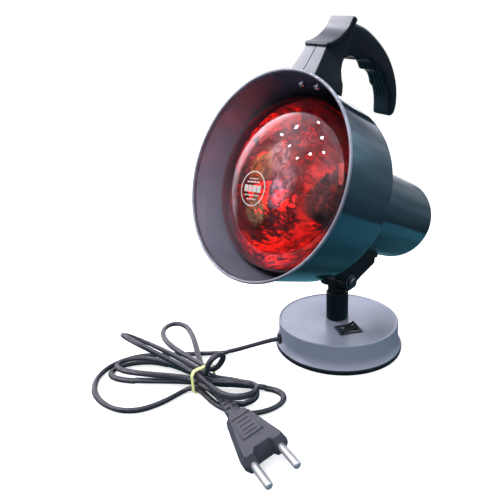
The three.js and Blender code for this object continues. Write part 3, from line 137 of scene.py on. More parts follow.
def rounded(points, radius, steps=4, closed=False):
    """The polyline with each inner corner turned into an arc of about that radius."""
    result = []
    count = len(points)
    for i, point in enumerate(points):
        here = Vector(point)
        if not closed and i in (0, count - 1):
            result.append(tuple(here))
            continue
        before = Vector(points[i - 1]) - here
        after = Vector(points[(i + 1) % count]) - here
        reach = min(radius, before.length * 0.45, after.length * 0.45)
        start, end = here + before.normalized() * reach, here + after.normalized() * reach
        for k in range(steps + 1):
            t = k / steps
            result.append(tuple((1 - t) ** 2 * start + 2 * t * (1 - t) * here + t * t * end))
    return result


def catmull_2d(points, steps, loop=False):
    """The same as catmull for points of two numbers."""
    return [(p.x, p.y) for p in catmull([(x, y, 0) for x, y in points], steps, loop)]


def evaluated(holder):
    """A new mesh of what the object's curve or modifiers give."""
    bpy.context.view_layer.update()
    return bpy.data.meshes.new_from_object(holder.evaluated_get(bpy.context.evaluated_depsgraph_get()))


def plate(points, half, edge, smooth=0, segments=4):
    """An outline drawn in Y and Z, made 2 * half wide across X with rounded edges."""
    flat = catmull_2d(points, smooth, loop=True) if smooth else points
    curve = bpy.data.curves.new("outline", "CURVE")
    curve.dimensions = "2D"
    curve.fill_mode = "BOTH"
    curve.extrude = half - edge
    curve.bevel_depth = edge
    curve.bevel_resolution = segments
    curve.offset = -edge
    spline = curve.splines.new("POLY")
    spline.points.add(len(flat) - 1)
    for target, (x, y) in zip(spline.points, flat):
        target.co = (x, y, 0, 1)
    spline.use_cyclic_u = True
    holder = new_object("outline", curve)
    mesh = evaluated(holder)
    bpy.data.objects.remove(holder)
    bm = bmesh.new()
    bm.from_mesh(mesh)
    bpy.data.meshes.remove(mesh)
    bmesh.ops.remove_doubles(bm, verts=bm.verts, dist=0.001)
    return placed(bm, Matrix(((0, 0, 1, 0), (1, 0, 0, 0), (0, 1, 0, 0), (0, 0, 0, 1))))


def box(low, high, edge=0, segments=3, place=STILL):
    bm = bmesh.new()
    bmesh.ops.create_cube(bm, size=1)
    for vert in bm.verts:
        vert.co = Vector([low[i] if vert.co[i] < 0 else high[i] for i in range(3)])
    if edge:
        bmesh.ops.bevel(bm, geom=bm.edges, offset=edge, segments=segments, profile=0.5, affect="EDGES")
    return placed(bm, place)


def loft(sections, closed=False):
    """Rings of equal length, joined one to the next, and capped, or closed from the last to the first."""
    bm = bmesh.new()
    rings = [[bm.verts.new(p) for p in section] for section in sections]
    for low, high in zip(rings, rings[1:] + rings[:1] if closed else rings[1:]):
        for i in range(len(low)):
            j = (i + 1) % len(low)
            bm.faces.new((low[i], low[j], high[j], high[i]))
    if not closed:
        bm.faces.new(rings[0])
        bm.faces.new(rings[-1])
    return bm


def merged(*parts):
    bm = bmesh.new()
    for part in parts:
        mesh = bpy.data.meshes.new("part")
        bmesh.ops.recalc_face_normals(part, faces=part.faces)
        part.to_mesh(mesh)
        part.free()
        bm.from_mesh(mesh)
        bpy.data.meshes.remove(mesh)
    return bm


def solved(bm, cutters, operation="DIFFERENCE"):
    """Boolean of a bmesh with others, each in the same units."""
    for part in (bm, *cutters):
        bmesh.ops.recalc_face_normals(part, faces=part.faces)
    body = new_object("body", bm)
    for cutter in cutters:
        other = new_object("cutter", cutter)
        step = body.modifiers.new("cut", "BOOLEAN")
        step.object = other
        step.operation = operation
        step.solver = "EXACT"
        mesh = evaluated(body)
        body.modifiers.clear()
        body.data = mesh
        bpy.data.objects.remove(other)
    result = bmesh.new()
    result.from_mesh(body.data)
    bpy.data.objects.remove(body)
    return result


def soften(piece, width, segments=3, angle=35):
    """Rounds a piece's sharp edges by this many millimetres."""
    bevel = piece.modifiers.new("edges", "BEVEL")
    bevel.width = width * MM
    bevel.segments = segments
    bevel.limit_method = "ANGLE"
    bevel.angle_limit = radians(angle)
    return piece


def catmull(points, steps, loop=False):
    """Centripetal Catmull-Rom through the points, as in the part's own tubes."""
    points = [Vector(p) for p in points]
    result = []
    count = len(points)
    segments = count if loop else count - 1
    for i in range(segments):
        p1, p2 = points[i], points[(i + 1) % count]
        p0 = points[i - 1] if loop or i > 0 else p1 * 2 - p2
        p3 = points[(i + 2) % count] if loop or i + 2 < count else p2 * 2 - p1
        d0 = max((p1 - p0).length ** 0.5, 1e-4)
        d1 = max((p2 - p1).length ** 0.5, 1e-4)
        d2 = max((p3 - p2).length ** 0.5, 1e-4)
        m1 = ((p1 - p0) / d0 - (p2 - p0) / (d0 + d1) + (p2 - p1) / d1) * d1
        m2 = ((p2 - p1) / d1 - (p3 - p1) / (d1 + d2) + (p3 - p2) / d2) * d1
        for k in range(steps):
            t = k / steps
            a, b = 2 * t ** 3 - 3 * t * t + 1, t ** 3 - 2 * t * t + t
            result.append(p1 * a + m1 * b + p2 * (1 - a) + m2 * (t ** 3 - t * t))
    if not loop:
        result.append(points[-1].copy())
    return result


def evenly(points, spacing):
    """Points at equal steps of about this length along the line."""
    lengths = [0.0]
    for a, b in zip(points, points[1:]):
        lengths.append(lengths[-1] + (b - a).length)
    count = max(2, round(lengths[-1] / spacing))
    result = []
    k = 0
    for i in range(count + 1):
        goal = lengths[-1] * i / count
        while k < len(points) - 2 and lengths[k + 1] < goal:
            k += 1
        span = max(lengths[k + 1] - lengths[k], 1e-9)
        result.append(points[k].lerp(points[k + 1], min(1, (goal - lengths[k]) / span)))
    return result


def frames(points):
    """Tangent and two crosswise directions at each point, turning as little as they can."""
    tangents = []
    for i in range(len(points)):
        tangents.append((points[min(i + 1, len(points) - 1)] - points[max(i - 1, 0)]).normalized())
    side = tangents[0].cross(Vector((0, 0, 1))).normalized()
    result = []
    for tangent in tangents:
        side = (side - tangent * side.dot(tangent)).normalized()
        result.append((tangent, side, tangent.cross(side)))
    return result


# ---- Materials

class Graph:
    """A node tree, with a short call for each kind of node that is used here."""

    def __init__(self, tree):
        self.nodes, self.links = tree.nodes, tree.links

    def fill(self, node, inputs):
        """Links each input to the socket given, or sets it to the value given."""
        for key, value in inputs.items():
            if isinstance(value, bpy.types.NodeSocket):
                self.links.new(value, node.inputs[key])
            else:
                node.inputs[key].default_value = value

    def node(self, kind, inputs, **settings):
        made = self.nodes.new("ShaderNode" + kind)
        for key, value in settings.items():
            setattr(made, key, value)
        self.fill(made, inputs)
        return made

    def position(self, scale=(1, 1, 1), pitch=0):
        """Object coordinates in metres, turned about X and stretched."""
        source = self.node("TexCoord", {}).outputs["Object"]
        return self.node("Mapping", {"Vector": source, "Rotation": (radians(pitch), 0, 0),
                                     "Scale": scale}).outputs["Vector"]

    def noise(self, vector, scale, detail=3, roughness=0.5):
        return self.node("TexNoise", {"Vector": vector, "Scale": scale, "Detail": detail,
                                      "Roughness": roughness}).outputs["Fac"]

    def ramp(self, value, stops):
        """A colour that runs through stops of (value, colour)."""
        made = self.node("ValToRGB", {"Fac": value})
        elements = made.color_ramp.elements
        while len(elements) < len(stops):
            elements.new(0.5)
        for element, (place, color) in zip(elements, stops):
            element.position = place
            element.color = (*color, 1)
        return made.outputs["Color"]

    def spread(self, value, low, high, start=0.3, end=0.7):
        """Runs from low to high while the value goes from start to end."""
        return self.node("MapRange", {"Value": value, "From Min": start, "From Max": end,
                                      "To Min": low, "To Max": high}).outputs["Result"]

    def bumps(self, heights):
        """A normal from a chain of bumps of (height output, strength, distance in metres)."""
        normal = None
        for height, strength, distance in heights:
            bump = self.node("Bump", {"Height": height, "Strength": strength, "Distance": distance})
            if normal:
                self.links.new(normal, bump.inputs["Normal"])
            normal = bump.outputs["Normal"]
        return normal

    def number(self, operation, a, b=0.0, third=0.0, clamp=False):
        return self.node("Math", {0: a, 1: b, 2: third}, operation=operation,
                         use_clamp=clamp).outputs["Value"]

    def times(self, a, b, clamp=False):
        return self.number("MULTIPLY", a, b, clamp=clamp)

    def vector(self, operation, a, b):
        made = self.node("VectorMath", {0: a, 1: b}, operation=operation)
        return made.outputs["Value" if operation == "DOT_PRODUCT" else "Vector"]

    def scaled(self, a, scale):
        return self.node("VectorMath", {0: a, "Scale": scale}, operation="SCALE").outputs["Vector"]

    def mixed(self, factor, first, second):
        return self.node("MixShader", {0: factor, 1: first, 2: second}).outputs[0]


def new_material(name, color, roughness=0.5, metallic=0.0, coat=0.0, coat_roughness=0.1, specular=0.5,
                 transmission=0.0, ior=1.5):
    made = bpy.data.materials.new(name)
    made.use_nodes = True
    graph, shader = Graph(made.node_tree), made.node_tree.nodes["Principled BSDF"]
    graph.fill(shader, {
        "Base Color": (*color, 1), "Roughness": roughness, "Metallic": metallic, "Coat Weight": coat,
        "Coat Roughness": coat_roughness, "Specular IOR Level": specular,
        "Transmission Weight": transmission, "IOR": ior})
    return made, graph, shader


def varied(name, dark, light, scale, rough, bumps=((900, 0.15, 0.0002),), **settings):
    """A finish that varies a little in colour and roughness, with bumps of (scale, strength, distance)."""
    made, graph, shader = new_material(name, light, **settings)
    place = graph.position()
    graph.fill(shader, {
        "Base Color": graph.ramp(graph.noise(place, scale, 4), [(0.35, dark), (0.65, light)]),
        "Roughness": graph.spread(graph.noise(place, scale * 0.4, 3), *rough),
        "Normal": graph.bumps([(graph.noise(place, size, 2), *heights) for size, *heights in bumps])})
    return made


FINE_BUMPS = ((1500, 0.05, 0.00004),)
grey_paint = varied(
    "grey_hammered_paint", (0.25, 0.275, 0.345), (0.29, 0.315, 0.385), 25, (0.34, 0.42),
    bumps=((420, 0.16, 0.0003), (2600, 0.1, 0.00006)), metallic=0.35, coat=0.35, coat_roughness=0.22)
blue_paint = varied(
    "blue_gloss_paint", (0.034, 0.115, 0.165), (0.042, 0.135, 0.19), 18, (0.13, 0.2),
    bumps=((140, 0.02, 0.0004), (1500, 0.03, 0.00005)), metallic=0.94, coat=0.9, coat_roughness=0.05)
inner_paint = varied(
    "shade_inner_paint", (0.15, 0.15, 0.19), (0.19, 0.19, 0.235), 20, (0.15, 0.23),
    bumps=((700, 0.07, 0.0001), (130, 0.05, 0.0005)), metallic=0.58, coat=0.2, coat_roughness=0.12)
rim_metal = varied(
    "shade_rim_metal", (0.2, 0.215, 0.25), (0.3, 0.32, 0.365), 90, (0.26, 0.38),
    bumps=((1200, 0.05, 0.00005),), metallic=0.7)
black_plastic = varied(
    "black_moulded_plastic", (0.0015, 0.004, 0.006), (0.0025, 0.006, 0.009), 40, (0.26, 0.36),
    bumps=((1800, 0.12, 0.00005), (160, 0.03, 0.0003)), specular=0.32)
switch_plastic = varied(
    "switch_plastic", (0.006, 0.0065, 0.009), (0.01, 0.011, 0.014), 70, (0.2, 0.3),
    bumps=((2400, 0.08, 0.00004),), specular=0.6)
cord_plastic = varied(
    "cord_sheath", (0.013, 0.015, 0.021), (0.022, 0.025, 0.034), 120, (0.24, 0.36),
    bumps=((1400, 0.1, 0.00005),), specular=0.6)
plug_plastic = varied(
    "plug_plastic", (0.04, 0.042, 0.052), (0.056, 0.058, 0.07), 90, (0.38, 0.5),
    bumps=((2200, 0.22, 0.00005),))
rubber = varied(
    "black_rubber", (0.008, 0.008, 0.009), (0.014, 0.014, 0.016), 90, (0.6, 0.8),
    bumps=((1200, 0.2, 0.0001),))
iron = varied(
    "ballast_iron", (0.05, 0.05, 0.052), (0.1, 0.1, 0.104), 70, (0.6, 0.8), bumps=((500, 0.5, 0.0003),),
    metallic=0.7)
steel = varied(
    "plated_steel", (0.55, 0.56, 0.58), (0.68, 0.69, 0.71), 300, (0.18, 0.32), bumps=FINE_BUMPS,
    metallic=1.0)
pin_metal = varied(
    "pin_metal", (0.62, 0.63, 0.64), (0.74, 0.75, 0.75), 300, (0.34, 0.46), bumps=FINE_BUMPS, metallic=0.85)
dark_steel = varied(
    "blackened_steel", (0.1, 0.105, 0.115), (0.16, 0.165, 0.175), 300, (0.25, 0.4), bumps=FINE_BUMPS,
    metallic=0.9)
brass = varied(
    "nickel_brass", (0.62, 0.5, 0.26), (0.78, 0.64, 0.36), 200, (0.22, 0.36), bumps=FINE_BUMPS,
    metallic=1.0)
porcelain = varied(
    "porcelain", (0.74, 0.72, 0.66), (0.82, 0.8, 0.75), 60, (0.18, 0.26), bumps=((500, 0.05, 0.0001),),
    coat=0.5)
tie_plastic = varied(
    "tie_plastic", (0.86, 0.9, 0.3), (0.93, 0.96, 0.42), 300, (0.35, 0.5), bumps=((1500, 0.15, 0.00005),))
red_lead = varied("red_lead", (0.38, 0.05, 0.04), (0.46, 0.07, 0.05), 200, (0.35, 0.45))
blue_lead = varied("blue_lead", (0.05, 0.11, 0.32), (0.07, 0.15, 0.4), 200, (0.35, 0.45))
tungsten = varied("filament_wire", (0.3, 0.3, 0.31), (0.4, 0.4, 0.41), 400, (0.3, 0.45), metallic=1.0)
marks = varied("switch_marks", (0.22, 0.23, 0.25), (0.3, 0.31, 0.33), 400, (0.4, 0.5))
bulb_ink = varied("bulb_ink", (0.8, 0.79, 0.72), (0.9, 0.89, 0.82), 300, (0.4, 0.55))

SILVER = (0.95, 0.93, 0.93)
silvering, graph, shader = new_material("bulb_silvering", SILVER, metallic=1.0)
place = graph.position()
drawn_out = graph.position((1, 0.1, 1), 20)
graph.fill(shader, {
    "Base Color": graph.ramp(graph.noise(place, 55, 4), [(0.36, (0.42, 0.4, 0.44)), (0.5, SILVER)]),
    "Roughness": graph.spread(graph.noise(place, 90, 2), 0.015, 0.09),
    "Normal": graph.bumps([
        (graph.noise(place, 42, 2), 0.7, 0.007), (graph.noise(place, 130, 3), 0.6, 0.0018),
        (graph.noise(drawn_out, 420, 2), 0.45, 0.0006), (graph.noise(place, 900, 1), 0.45, 0.0002)])})


def glass(name, color, scale, detail, **settings):
    made, graph, shader = new_material(name, color, transmission=1.0, **settings)
    waves = graph.noise(graph.position(), scale, detail)
    graph.fill(shader, {"Normal": graph.bumps([(waves, 0.05, 0.001)])})
    return made


red_glass = glass("red_glass", (0.68, 0.075, 0.055), 40, 3, roughness=0.0, coat=0.45, coat_roughness=0.0)
clear_glass = glass("clear_glass", (0.92, 0.95, 0.95), 90, 2, roughness=0.02, ior=1.45)


def add(name, bm, place, material, body, slot, *nodes_replaced, angle=40):
    """A finished piece that rides on a body, and stands for the CAD nodes named."""
    piece = finish_mesh(name, bm, place, angle)
    piece.data.materials.append(material)
    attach(piece, body)
    if nodes_replaced:
        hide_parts(*nodes_replaced)
    return piece


# ---- Base

BASE_RADIUS, FLARE, SKIRT_LOW, SKIRT_HEIGHT, SKIRT_STEPS = 52, 2.8, 4.3, 8, 8
SCREW_CIRCLE = 40


def skirt(offset):
    """The flared side from the foot up, this far inside the outer face."""
    return [(BASE_RADIUS + FLARE * (1 - i / SKIRT_STEPS) ** 2 - offset,
             SKIRT_LOW + SKIRT_HEIGHT * i / SKIRT_STEPS) for i in range(SKIRT_STEPS + 1)]


top_edge = rounded([(52, 12.3), (52, 24.15), (51.5, 24.7), (50.6, 24.7), (50.1, 24.05), (42, 24)], 0.5)
top_and_inside = top_edge[1:] + [(9.2, 24), (8.9, 23.9), (8.9, 22.9), (9.2, 22.8), (50.6, 22.8)]
base_bm = solved(
    placed(lathe(skirt(0) + top_and_inside + skirt(1.2)[::-1], WIDE, closed=True), UPRIGHT),
    [rod(4.5, 40, 60, EXIT), box((-9.4, -6.5, 18), (9.4, 6.5, 30), place=SWITCH)])
base_skin = add("base_skin", base_bm, STILL, grey_paint, "base", "grey_paint", "base_shell", angle=35)

foot = [(0, 0), (54.6, 0), (55.3, 0.8), (55.3, 3.2), (54.7, 4), (51.2, 4), (51, 3.4), (50.6, 3), (0, 3)]
foot = placed(lathe(rounded(foot, 0.5, 3), WIDE), UPRIGHT)
counterbores = []
for i in range(3):
    angle = radians(-65 + 120 * i)
    axis = shift(SCREW_CIRCLE * cos(angle), SCREW_CIRCLE * sin(angle)) @ UPRIGHT
    counterbores.append(rod(3.05, -4, 2.1, axis))
base_foot = add("base_foot", solved(foot, counterbores), STILL, black_plastic, "base", "black_plastic",
                "base_bottom_cover", angle=35)

bush = lathe(rounded([(2.62, 45), (4.3, 45), (4.3, 52.6), (5, 53), (5, 53.7), (4.2, 54.1), (2.62, 54.1)],
                     0.4, 3, closed=True), 48, closed=True)
add("cord_bush", bush, EXIT, rubber, "base", "black_rubber", "cord_grommet")


# ---- Switch

bezel = solved(box((-9.8, -7.2, 24.3), (9.8, 7.2, 25.9)), [box((-8.4, -5, 10), (8.4, 5, 40))])
body_low = solved(box((-9.1, -6.2, 11.7), (9.1, 6.2, 25)), [box((-8.4, -5, 18), (8.4, 5, 40))])
switch_frame = add("switch_frame", merged(bezel, body_low), SWITCH, switch_plastic, "base", "switch_plastic",
                   "switch_body", angle=30)
soften(switch_frame, 0.45)

# The key's outline is drawn along Y, so X and Y change places
underside = [(-7.6, -1.2), (-1, -2.2), (1, -2.2), (7.6, -1.2)]
scoop = [(7.3 * (1 - 2 * i / 12), 3.05 + 1.6 * (abs(1 - 2 * i / 12)) ** 1.7) for i in range(13)]
key = placed(plate(underside + scoop, 4.7, 0.4, segments=3),
             Matrix(((0, 1, 0, 0), (1, 0, 0, 0), (0, 0, 1, 0), (0, 0, 0, 1))))
switch_key = add("switch_key", key, ROCKER, switch_plastic, "rocker", "switch_plastic", "switch_rocker",
                 angle=30)

low_end, high_end = (shift(4.6 * side, z=3.93) @ turned(-16 * side, "Y") for side in (-1, 1))
ring = placed(lathe([(1.0, 0), (1.45, 0), (1.45, 0.14), (1.0, 0.14)], 40, closed=True), UPRIGHT, low_end)
dash = box((-1.5, -0.22, 0), (1.5, 0.22, 0.14), 0.04, 1, high_end)
switch_marks = add("switch_marks", merged(ring, dash), ROCKER, marks, "rocker", "switch_plastic", angle=30)


# ---- Post and tilt bracket

column = placed(lathe(rounded([(0, 24.3), (9.5, 24.3), (9.5, 49.5), (0, 49.5)], 0.7), ROUND), UPRIGHT)
arc = [(8.4 * cos(pi * i / 28), PIVOT + 8.4 * sin(pi * i / 28)) for i in range(29)]
tab = plate([(-8.4, 48), (8.4, 48)] + arc, 4, 0.5, segments=3)
add("post_skin", merged(column, tab), STILL, black_plastic, "base", "black_plastic", "post", angle=35)

# The arm's outline: a round lug at the bolt, and sides that sweep out to the saddle under the shade
REACH, RISE = 34, 22
lug = [(8 * cos(-pi * (1 - i / 28)), 8 * sin(-pi * (1 - i / 28))) for i in range(29)]
rear = [(0.31 * REACH, 0.02 * RISE), (0.43 * REACH, 0.2 * RISE), (0.956 * REACH, 0.82 * RISE),
        (REACH, 0.93 * RISE), (0.97 * REACH, RISE)]
front = [(-y, z) for y, z in reversed(rear)]
neck = [(33.2, 22.3), (33.2, 25.2), (-30.6, 25.2), (-30.6, 22)]
arm = plate(lug + rear + neck + front, 13, 0.7, segments=3)
arm = solved(arm, [box((-13, -31.5, 24), (13, 36.5, 30.5), 0.6)], "UNION")
arm = solved(arm, [rod(37.8, -45, 45, shift(z=64), WIDE), box((-5.6, -40, -14), (5.6, 40, 9.4)),
                   rod(2.7, -20, 20, ACROSS)])
add("tilt_arm", arm, HEAD, black_plastic, "head", "black_plastic", "tilt_bracket", angle=35)

for half_turn, name in ((0, "bolt_washer_right"), (180, "bolt_washer_left")):
    washer = rounded([(2.7, 13.3), (6.6, 13.3), (6.6, 14.3), (2.7, 14.3)], 0.25, 3, closed=True)
    add(name + "_skin", lathe(washer, ROUND, closed=True), HEAD @ turned(half_turn, "Z") @ ACROSS, dark_steel,
        "head", "screw_steel", name)
bolt = [(0, -20.2), (1.7, -20.2), (2.4, -19.5), (2.4, 14.6), (4.6, 14.6), (4.6, 16.4), (3.6, 17.4), (0, 17.7)]
bolt = solved(lathe(rounded(bolt, 0.35, 3), ROUND),
              [box((-0.5, 16.6, -3), (0.5, 20, 3)), box((-3, 16.6, -0.5), (3, 20, 0.5))])
add("tilt_bolt", bolt, HEAD @ ACROSS, dark_steel, "head", "screw_steel", "pivot_bolt", angle=35)


# ---- Shade and rear housing

BEAD, RIM_RADIUS = 1.05, 70.65
bead = [(RIM_RADIUS + BEAD * cos(pi * (1 + 1.5 * i / 24)),
         BEAD * (1 + sin(pi * (1 + 1.5 * i / 24)))) for i in range(25)]
outer = rounded([(69.6, 3.6), (67.9, 57), (36, 75), (36, 84)], 2.4, 8)
inner = rounded([(69.2, 3), (66.7, 56), (34.8, 74.4), (34.8, 84)], 2, 6)
shade = lathe(outer + [(35.4, 84), (34.8, 84)] + inner[-2::-1], WIDE)
shade_skin = add("shade_skin", shade, OPTICS, blue_paint, "head", "blue_paint", "shade_shell", angle=35)
# The faces that look inwards, in front of the neck, take the inner paint
shade_skin.data.materials.append(inner_paint)
inverse = (Matrix.Scale(MM, 4) @ OPTICS).inverted()
untilt = OPTICS.to_3x3().inverted()
for polygon in shade_skin.data.polygons:
    centre, normal = inverse @ polygon.center, untilt @ polygon.normal
    if normal.x * centre.x + normal.z * centre.z < 0 and centre.y < 74:
        polygon.material_index = 1

rim = lathe([(69.2, 3)] + bead + [(70.1, 2.3), (69.6, 3.6)], WIDE, closed=True)
add("shade_rim", rim, OPTICS, rim_metal, "head", "blue_paint", angle=50)

TAIL_RADIUS, TAIL_END, TAIL_EDGE = 37.5, 190.5, 5.5
tail = [(36.6, 76.2), (37.2, 76.2), (TAIL_RADIUS, 76.5), (TAIL_RADIUS, TAIL_END)]
tail += [(TAIL_RADIUS - TAIL_EDGE * (1 - cos(pi * i / 16)),
          TAIL_END + TAIL_EDGE * sin(pi * i / 16)) for i in range(1, 9)]
tail += rounded([(32, 196), (25.3, 196), (24.6, 195), (0, 195)], 0.5, 3)[1:]
tail += [(0, 193.8), (24, 193.8), (31.4, 194.6), (34.4, 193), (36.3, 189), (36.3, 76.5)]
add("housing_skin", lathe(tail, WIDE), OPTICS, blue_paint, "head", "blue_paint", "rear_housing", angle=35)


# ---- Bulb: (share of the widest radius or of the neck's, share of the length)

BULB_RADIUS, NECK_RADIUS, BULB_FRONT, BULB_LENGTH = 62.5, 32, 3, 153
bulb_shares = [
    (0, 0), (0.24, 0.005), (0.46, 0.02), (0.7, 0.052), (0.85, 0.082), (0.94, 0.11), (0.985, 0.137),
    (1, 0.168), (0.99, 0.2), (0.965, 0.229), (0.91, 0.27), (0.85, 0.307), (0.78, 0.345), (0.72, 0.373),
    (0.65, 0.406), (0.6, 0.425), (0.56, 0.455)]
neck_shares = [(1, 0.503), (1, 0.667), (0.938, 0.778), (0.75, 0.895), (0.594, 0.967)]
parts = (BULB_RADIUS, bulb_shares), (NECK_RADIUS, neck_shares)
bulb_line = [(radius * r, BULB_FRONT + BULB_LENGTH * y) for radius, shares in parts for r, y in shares]
bulb_line += [(11.4, 156), (11.4, 164)]
smooth_line = [(max(r, 0), y) for r, y in catmull_2d(bulb_line, 5)]


def inset(line, depth):
    """The bulb's line moved inwards by this much."""
    result = []
    for i, (r, y) in enumerate(line):
        r0, y0 = line[max(i - 1, 0)]
        r1, y1 = line[min(i + 1, len(line) - 1)]
        length = hypot(r1 - r0, y1 - y0)
        result.append((0 if i == 0 else max(r - depth * (y1 - y0) / length, 0.01),
                       y + (depth if i == 0 else depth * (r1 - r0) / length)))
    return result


bulb = lathe(smooth_line + inset(smooth_line, 1.4)[::-1], WIDE)
add("bulb_skin", bulb, OPTICS, red_glass, "head", "red_glass", "bulb_glass", angle=60)

# The silvering lies inside the glass, from a little behind its widest ring, and narrows to a cup at the neck
cup = [(36.2, 67), (31.2, 72.3), (26.6, 77.5), (23, 83), (20.5, 89.5), (19.2, 97), (18.6, 108), (18.5, 146)]
coat_line = [p for p in inset(smooth_line, 1.7) if 30 < p[1] < 66]
coat_line += catmull_2d(cup, 4)
coat = lathe(coat_line + [(r - 0.3, y) for r, y in reversed(coat_line)], WIDE, closed=True)
add("bulb_reflector", coat, OPTICS, silvering, "head", "red_glass", angle=60)


def on_dome(x, z, lift):
    """The point this far in front of the glass."""
    radius = hypot(x, z)
    for (r0, y0), (r1, y1) in zip(smooth_line, smooth_line[1:]):
        if r0 <= radius <= r1:
            return x, y0 + (y1 - y0) * (radius - r0) / (r1 - r0) - lift, z
    return x, smooth_line[0][1] - lift, z


def printed(bm, rows):
    """A thin sheet over rows of (x, z) points."""
    made = [[bm.verts.new(on_dome(x, z, 0.06)) for x, z in row] for row in rows]
    for low, high in zip(made, made[1:]):
        for i in range(len(low) - 1):
            bm.faces.new((low[i], low[i + 1], high[i + 1], high[i]))


# A printed ring with plain bars, each in four parts, on the front of the glass
STAMP_X, STAMP_Z = -6.2, -8
PARTS, GAP = 4, 0.3
ink = bmesh.new()
circle = [(cos(2 * pi * i / 72), sin(2 * pi * i / 72)) for i in range(73)]
printed(ink, [[(STAMP_X + c * r, STAMP_Z + s * r) for c, s in circle] for r in (11.3, 12.1)])
bars = ((-2.3, 2.3, 8.6), (4.1, 5, 6.4), (6.4, 7.1, 4.6), (-4.9, -4.1, 7.4), (-7.6, -6.7, 4.8))
for low_z, high_z, half in bars:
    for part in range(PARTS):
        from_x, to_x = -half + 2 * half * part / PARTS + GAP, -half + 2 * half * (part + 1) / PARTS - GAP
        printed(ink, [[(STAMP_X + from_x + (to_x - from_x) * i / 4, STAMP_Z + level) for i in range(5)]
                      for level in (low_z, (low_z + high_z) / 2, high_z)])
bmesh.ops.solidify(ink, geom=ink.faces[:], thickness=0.03)
add("bulb_stamp", ink, OPTICS, bulb_ink, "head", "red_glass", angle=60)

stem = lathe([(0, 163.2), (9.7, 163.2), (9.7, 162)] + rounded(
    [(9.7, 160), (4, 154), (4, 122), (2.6, 117.4), (0, 117.2)], 2, 5)[1:], 48)
add("bulb_stem_skin", stem, OPTICS, clear_glass, "head", "clear_glass", "bulb_stem", angle=60)


def wire(points, radius, sides=12, steps=8):
    line = catmull(points, steps)
    rings = []
    for point, (tangent, side, over) in zip(line, frames(line)):
        rings.append([point + side * radius * cos(a) + over * radius * sin(a)
                      for a in (2 * pi * i / sides for i in range(sides))])
    return loft(rings)


def coil(points, radius, turns, wire_radius):
    line = evenly(catmull(points, 12), 0.25)
    path = []
    for i, (point, (tangent, side, over)) in enumerate(zip(line, frames(line))):
        angle = 2 * pi * turns * i / (len(line) - 1)
        path.append(point + side * radius * cos(angle) + over * radius * sin(angle))
    return wire(path, wire_radius, 6, 1)


# The filament runs round three quarters of a ring, on two legs and three supports
RING_RADIUS, RING_HEIGHT = 12, 48
ring_angles = [2 * pi * (0.12 + 0.76 * i / 14) for i in range(15)]
ring_points = [(RING_RADIUS * cos(a), RING_HEIGHT, RING_RADIUS * sin(a)) for a in ring_angles]
wires = [coil(ring_points, 0.8, 66, 0.17)]
for (x, y, z), foot_x in ((ring_points[0], 2), (ring_points[-1], -2)):
    wires.append(wire([(foot_x, 117, 0), ((foot_x + x) * 0.6, 85, z * 0.5), (x, y, z)], 0.45))
for x, y, z in (ring_points[4], ring_points[7], ring_points[10]):
    wires.append(wire([(0, 118, 0), (x * 0.5, 80, z * 0.5), (x, y, z)], 0.28))
add("bulb_filament_skin", merged(*wires), OPTICS, tungsten, "head", "filament_wire", "bulb_filament",
    angle=60)


# ---- Handle, drawn in its own plane: (share of its length back along the head, share of its rise outwards)

hook_shares = [
    (0.16, 0.52), (0.236, 0.47), (0.282, 0.555), (0.338, 0.6), (0.386, 0.596), (0.424, 0.645),
    (0.481, 0.685), (0.536, 0.679), (0.588, 0.626), (0.624, 0.645), (0.676, 0.643), (0.724, 0.6),
    (0.762, 0.538), (0.805, 0.515), (0.848, 0.447), (0.89, 0.351), (0.924, 0.245), (0.945, 0.198),
    (0.976, 0.204), (0.998, 0.26), (0.989, 0.383), (0.935, 0.56), (0.857, 0.713), (0.745, 0.851),
    (0.633, 0.936), (0.495, 0.987), (0.358, 1), (0.28, 0.978), (0.225, 0.945), (0.2, 0.84)]
stem_shares = [
    (0, 0), (0.31, 0), (0.303, 0.094), (0.29, 0.177), (0.26, 0.245), (0.236, 0.333), (0.229, 0.423),
    (0.235, 0.6), (0.23, 0.82), (0.21, 0.93), (0.186, 0.86),
    (0.155, 0.74), (0.125, 0.645), (0.077, 0.545), (0.05, 0.5), (0.042, 0.465), (0.034, 0.37), (0.024, 0.27),
    (0.012, 0.17), (0, 0.08)]
cap_shares = [
    (0.03, 0.508), (0.059, 0.556), (0.107, 0.654), (0.137, 0.749), (0.16, 0.85), (0.171, 0.989),
    (0.212, 0.984), (0.212, 0.94), (0.202, 0.84), (0.176, 0.725), (0.147, 0.625), (0.093, 0.515),
    (0.045, 0.462)]


def on_handle(shares):
    return [(6 + a * 105, SHADE_TOP + r * 48) for a, r in shares]


SHADE_TOP, FLARE_HEIGHT, FOOT_FLARE = 67, 22, 0.36
hook_line, stem_line = on_handle(hook_shares), on_handle(stem_shares)
hook = plate(hook_line, 8.1, 2.2, smooth=4, segments=5)
foot = plate(stem_line, 9, 0.9, segments=3)
for vert in foot.verts:
    vert.co.x *= 1 + FOOT_FLARE * (1 - min(max((vert.co.z - SHADE_TOP) / FLARE_HEIGHT, 0), 1))
cap = plate(on_handle(cap_shares), 10, 0.95, smooth=3)
wall = lathe([(0, -8), (69.9, -8), (69.9, 0), (68.2, 57), (0, 57)], WIDE)
front = stem_line[-6:-1]
mould_line = plate([(x - 2, y) for x, y in front] + [(5, SHADE_TOP)]
                   + [(x + 0.5, y) for x, y in [(6.2, SHADE_TOP)] + front[::-1]], 0.33, 0)

